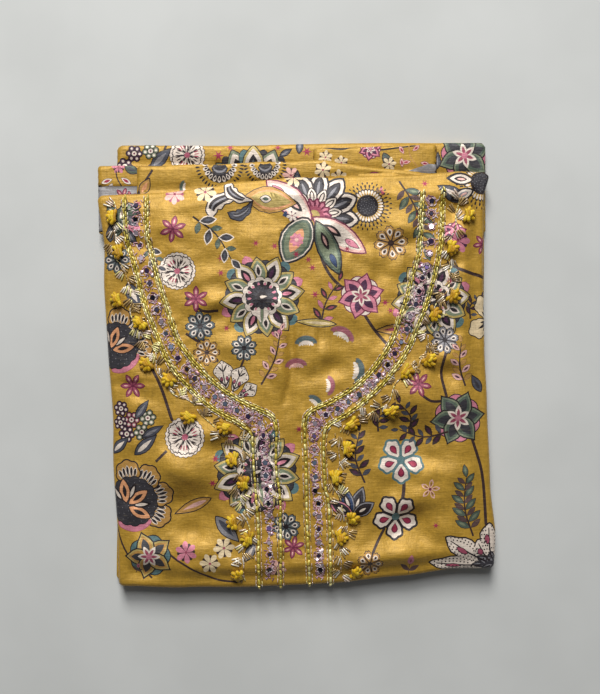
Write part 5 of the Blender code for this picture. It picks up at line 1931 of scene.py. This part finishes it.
def band_fill(stitches, sequins, rng, middle, width, mirrors_at):
    """Stitches and a few sequins strewn between a band's mirrors; they come and go along the band."""
    length = lengths_along(middle)
    along = rng.uniform(2.0, length[-1] - 6.0, FILL_TRIES)
    height = np.interp(along, length, middle[:, 1])
    dense = 0.5 + 0.5 * np.sin(along / 13.0 + 1.0) * np.sin(along / 31.0)
    placket_share = np.where(height > PLACKET_TOP, 0.33, 0.06 + 0.15 * dense)
    share = np.where(height > -5.0, 0.03 + 0.11 * dense, placket_share)
    along = along[rng.uniform(size=FILL_TRIES) < share]
    aside = rng.uniform(-1, 1, len(along)) * (np.interp(along, length, width) / 2 - BAND_MARGIN)
    aside = aside * np.where(np.interp(along, length, middle[:, 1]) < PLACKET_TOP, 0.6, 1.0)
    base = points_at(middle, length, along)
    base = base + left_of(unit(points_at(middle, length, along + 1) - base)) * aside[:, None]
    base = base[np.array([np.linalg.norm(mirrors_at - point, axis=1).min() for point in base]) > MIRROR_CLEAR]
    turn = rng.uniform(0, math.pi, len(base))
    way = np.column_stack((np.cos(turn), np.sin(turn)))
    points, axes = frames_on_front(base, way, 0.30 + 0.25 * rng.uniform(size=len(base)))
    stitches.add(STITCH, points, axes, bead_sizes(rng, len(base), 1.8, 3.4, 0.42, 0.30),
                 tones(rng, len(base), ("lilac", "petal", "mauve", "milk", "lilac", "petal", "milk")))
    some = rng.uniform(size=len(base)) < 0.05
    tilt = rng.normal(0, 0.1, size=(int(some.sum()), 2))
    points, axes = frames_on_front(base[some], way[some] + tilt, 0.5)
    sequins.add(SEQUIN, points, axes, (1.25, 1.25, 0.45),
                tones(rng, len(points), ("lilac", "frost", "milk", "petal")))


VINE_ASIDE = 9.6         # from a band's outer bead row to the vine's middle
VINE_END = -163.0
SHEAF_TONES = (("silver", "pale", "bright"), ("tan", "dull", "silver"), ("dull", "dull", "tan"))


def vine(pile, rng, route, outward):
    """The metal-bead vine outside a band: a wandering line of beads, and sheaves of long ones beside it."""
    line, ways, wanted = route_points(route, 2.7, 4.0, outward * VINE_ASIDE)
    forward = unit(ways)
    across = left_of(forward)
    line = line + across * (2.6 * np.sin(wanted / 8.5) + 1.0 * np.sin(wanted / 3.7))[:, None]
    ways = np.gradient(line, axis=0)
    inside = line[:, 1] > VINE_END
    line, ways, forward, across = line[inside], ways[inside], forward[inside], across[inside]
    kept = rng.uniform(size=len(line)) > 0.08
    points, axes = frames_on_front(line[kept], ways[kept], 0.5)
    pile.add(BUGLE, points, axes, bead_sizes(rng, len(points), 2.2, 2.8, 0.48),
             tones(rng, len(points), ("silver", "bright", "pale", "tan", "tan")))
    for place in range(1, len(line) - 1, 2):
        side = -1 if (place // 2) % 2 else 1
        lean = side * rng.uniform(0.35, 1.25)
        spine = forward[place] * math.cos(lean) + across[place] * math.sin(lean)
        spine = -spine if rng.uniform() < 0.3 else spine
        beside = np.array((-spine[1], spine[0]))
        blades = int(rng.integers(3, 6))
        names = SHEAF_TONES[rng.integers(len(SHEAF_TONES))]
        for blade in range(blades):
            hand = blade - (blades - 1) / 2
            splay = 0.16 * hand + rng.normal(0, 0.05)
            way = spine * math.cos(splay) + beside * math.sin(splay)
            long = rng.uniform(5.6, 7.2) - 0.7 * abs(hand)
            start = line[place] + spine * (1.6 + 0.9 * abs(hand)) + beside * hand * 1.25 + way * long * 0.5
            points, axes = frames_on_front(start[None], way[None], 0.55 + 0.12 * (blade % 2))
            thick = rng.uniform(0.54, 0.68)
            pile.add(BUGLE, points, axes, (long, thick, thick), tones(rng, 1, names))


def wound_bar(line, thick, winds):
    """A bar of thread wound round and round, tapering at its ends."""
    share = np.linspace(0.0, 1.0, winds * 3 + 1)
    spine = points_at(line, np.linspace(0, 1, len(line)), share)
    taper = np.sqrt(np.clip(1.0 - (2.0 * share - 1.0) ** 4, 0.08, 1.0))
    coil = 1.0 - 0.14 * (np.arange(len(share)) % 3 == 0)
    return tube(spine, thick * taper * coil, 8)


def bullion_rose(number, middle, turn, rng):
    """One flower of bullion knots: a fan of fat curved bars, and three bars laid across its base."""
    pile = Pile()
    places, ways = np.array([middle]), np.array([(math.cos(turn), math.sin(turn))])
    points, axes = frames_on_front(places, ways, 0.2)
    bars = int(rng.integers(6, 8))
    swirl = rng.choice((-1.0, 1.0)) * rng.uniform(0.35, 0.6)
    for bar in range(bars):
        angle = math.radians(-84 + 168 * bar / (bars - 1)) + rng.uniform(-0.08, 0.08)
        reach = rng.uniform(7.0, 8.2) * (1.0 - 0.22 * abs(math.sin(angle)))
        radius = np.linspace(1.2, reach, 9)
        swing = angle + (swirl + rng.uniform(-0.15, 0.15)) * np.sin(np.linspace(0, math.pi * 0.8, 9))
        height = 1.5 + 0.9 * np.sin(np.linspace(0.3, math.pi, 9)) + 0.35 * (bar % 2)
        line = np.column_stack((radius * np.cos(swing) - 3.2, radius * np.sin(swing), height))
        pile.add(wound_bar(line, rng.uniform(1.45, 1.75), 8), points, axes, 1.0,
                 tones(rng, 1, ("yolk", "lemon", "amber", "yolk")))
    for bar, (back, half) in enumerate(((-3.4, 3.6), (-1.9, 3.0), (-0.4, 2.2))):
        share = np.linspace(-1.0, 1.0, 9)
        lean = rng.uniform(-0.4, 0.4)
        line = np.column_stack((back - 0.9 * share ** 2 + lean * share, half * share,
                                2.3 + 0.6 * bar + 0.5 * (1 - share ** 2)))
        pile.add(wound_bar(line, 1.4, 7), points, axes, 1.0, tones(rng, 1, ("yolk", "lemon", "amber")))
    return pile.finish(f"bullion_rose_{number:02d}", THREAD)


FLOWERS_LEFT = (
    (-138.0, 109.0), (-132.6, 83.0), (-134.6, 48.6), (-117.6, 31.0), (-112.6, 0.4), (-94.6, -10.8),
    (-82.0, -39.6), (-53.4, -46.6), (-48.6, -71.6), (-38.4, -88.4), (-48.4, -116.6), (-34.6, -130.0),
    (-45.0, -156.0),
)
FLOWERS_RIGHT = (
    (129.0, 111.8), (115.8, 85.8), (118.0, 51.2), (101.4, 37.6), (100.8, 3.8), (82.0, -6.0),
    (72.4, -34.4), (41.2, -44.8), (40.0, -63.0), (31.0, -84.6), (43.4, -114.0), (33.0, -129.0),
    (45.8, -153.6),
)
FLOWER_CLEAR = 9.4       # from a bead row to the middle of a flower

GLASS = glass_beads()
MIRROR_FINISH = mirror_glass()
THREAD = silk_thread()


def beside_row(middle, route):
    """A flower's middle, moved out clear of the bead row, and the direction away from the row."""
    line, _, _ = route_points(route, 1.0)
    nearest = line[np.argmin(np.linalg.norm(line - middle, axis=1))]
    away = np.array(middle) - nearest
    distance = np.linalg.norm(away)
    return nearest + away * max(1.0, FLOWER_CLEAR / distance), math.atan2(away[1], away[0])


def embroider(side, inner, outer, outward, flowers, first_number, seed):
    """All the beadwork of one side of the neck."""
    rng = np.random.default_rng(seed)
    rows, silver, mirrors, rings, stitches, sequins, leaves = (Pile() for _ in range(7))
    for route in (inner, outer):
        bead_rows(rows, silver, rng, route)
    middle, width = band_middle(inner, outer)
    mirrors_at = mirror_row(mirrors, rings, rng, middle)
    band_fill(stitches, sequins, rng, middle, width, mirrors_at)
    vine(leaves, rng, outer, outward)
    root(rows.finish(f"bead_rows_{side}", GLASS), "neck_beads", f"neck_border_{side}")
    for pile, name, material, slot_name in (
        (silver, "silver_lines", GLASS, "neck_beads"),
        (mirrors, "neck_mirrors", MIRROR_FINISH, "neck_beads"),
        (rings, "mirror_rings", THREAD, "knot_thread"),
        (stitches, "band_stitches", THREAD, "knot_thread"),
        (sequins, "band_sequins", MIRROR_FINISH, "neck_beads"),
        (leaves, "bead_vine", GLASS, "neck_beads"),
    ):
        root(pile.finish(f"{name}_{side}", material, material != MIRROR_FINISH), slot_name)
    for number, flower in enumerate(flowers, start=first_number):
        place, turn = beside_row(flower, outer)
        root(bullion_rose(number, place, turn, rng), "knot_thread", f"bullion_flower_{number:02d}")


embroider("left", INNER_LEFT, OUTER_LEFT, -1, FLOWERS_LEFT, 1, 21)
embroider("right", INNER_RIGHT, OUTER_RIGHT, 1, FLOWERS_RIGHT, 14, 22)
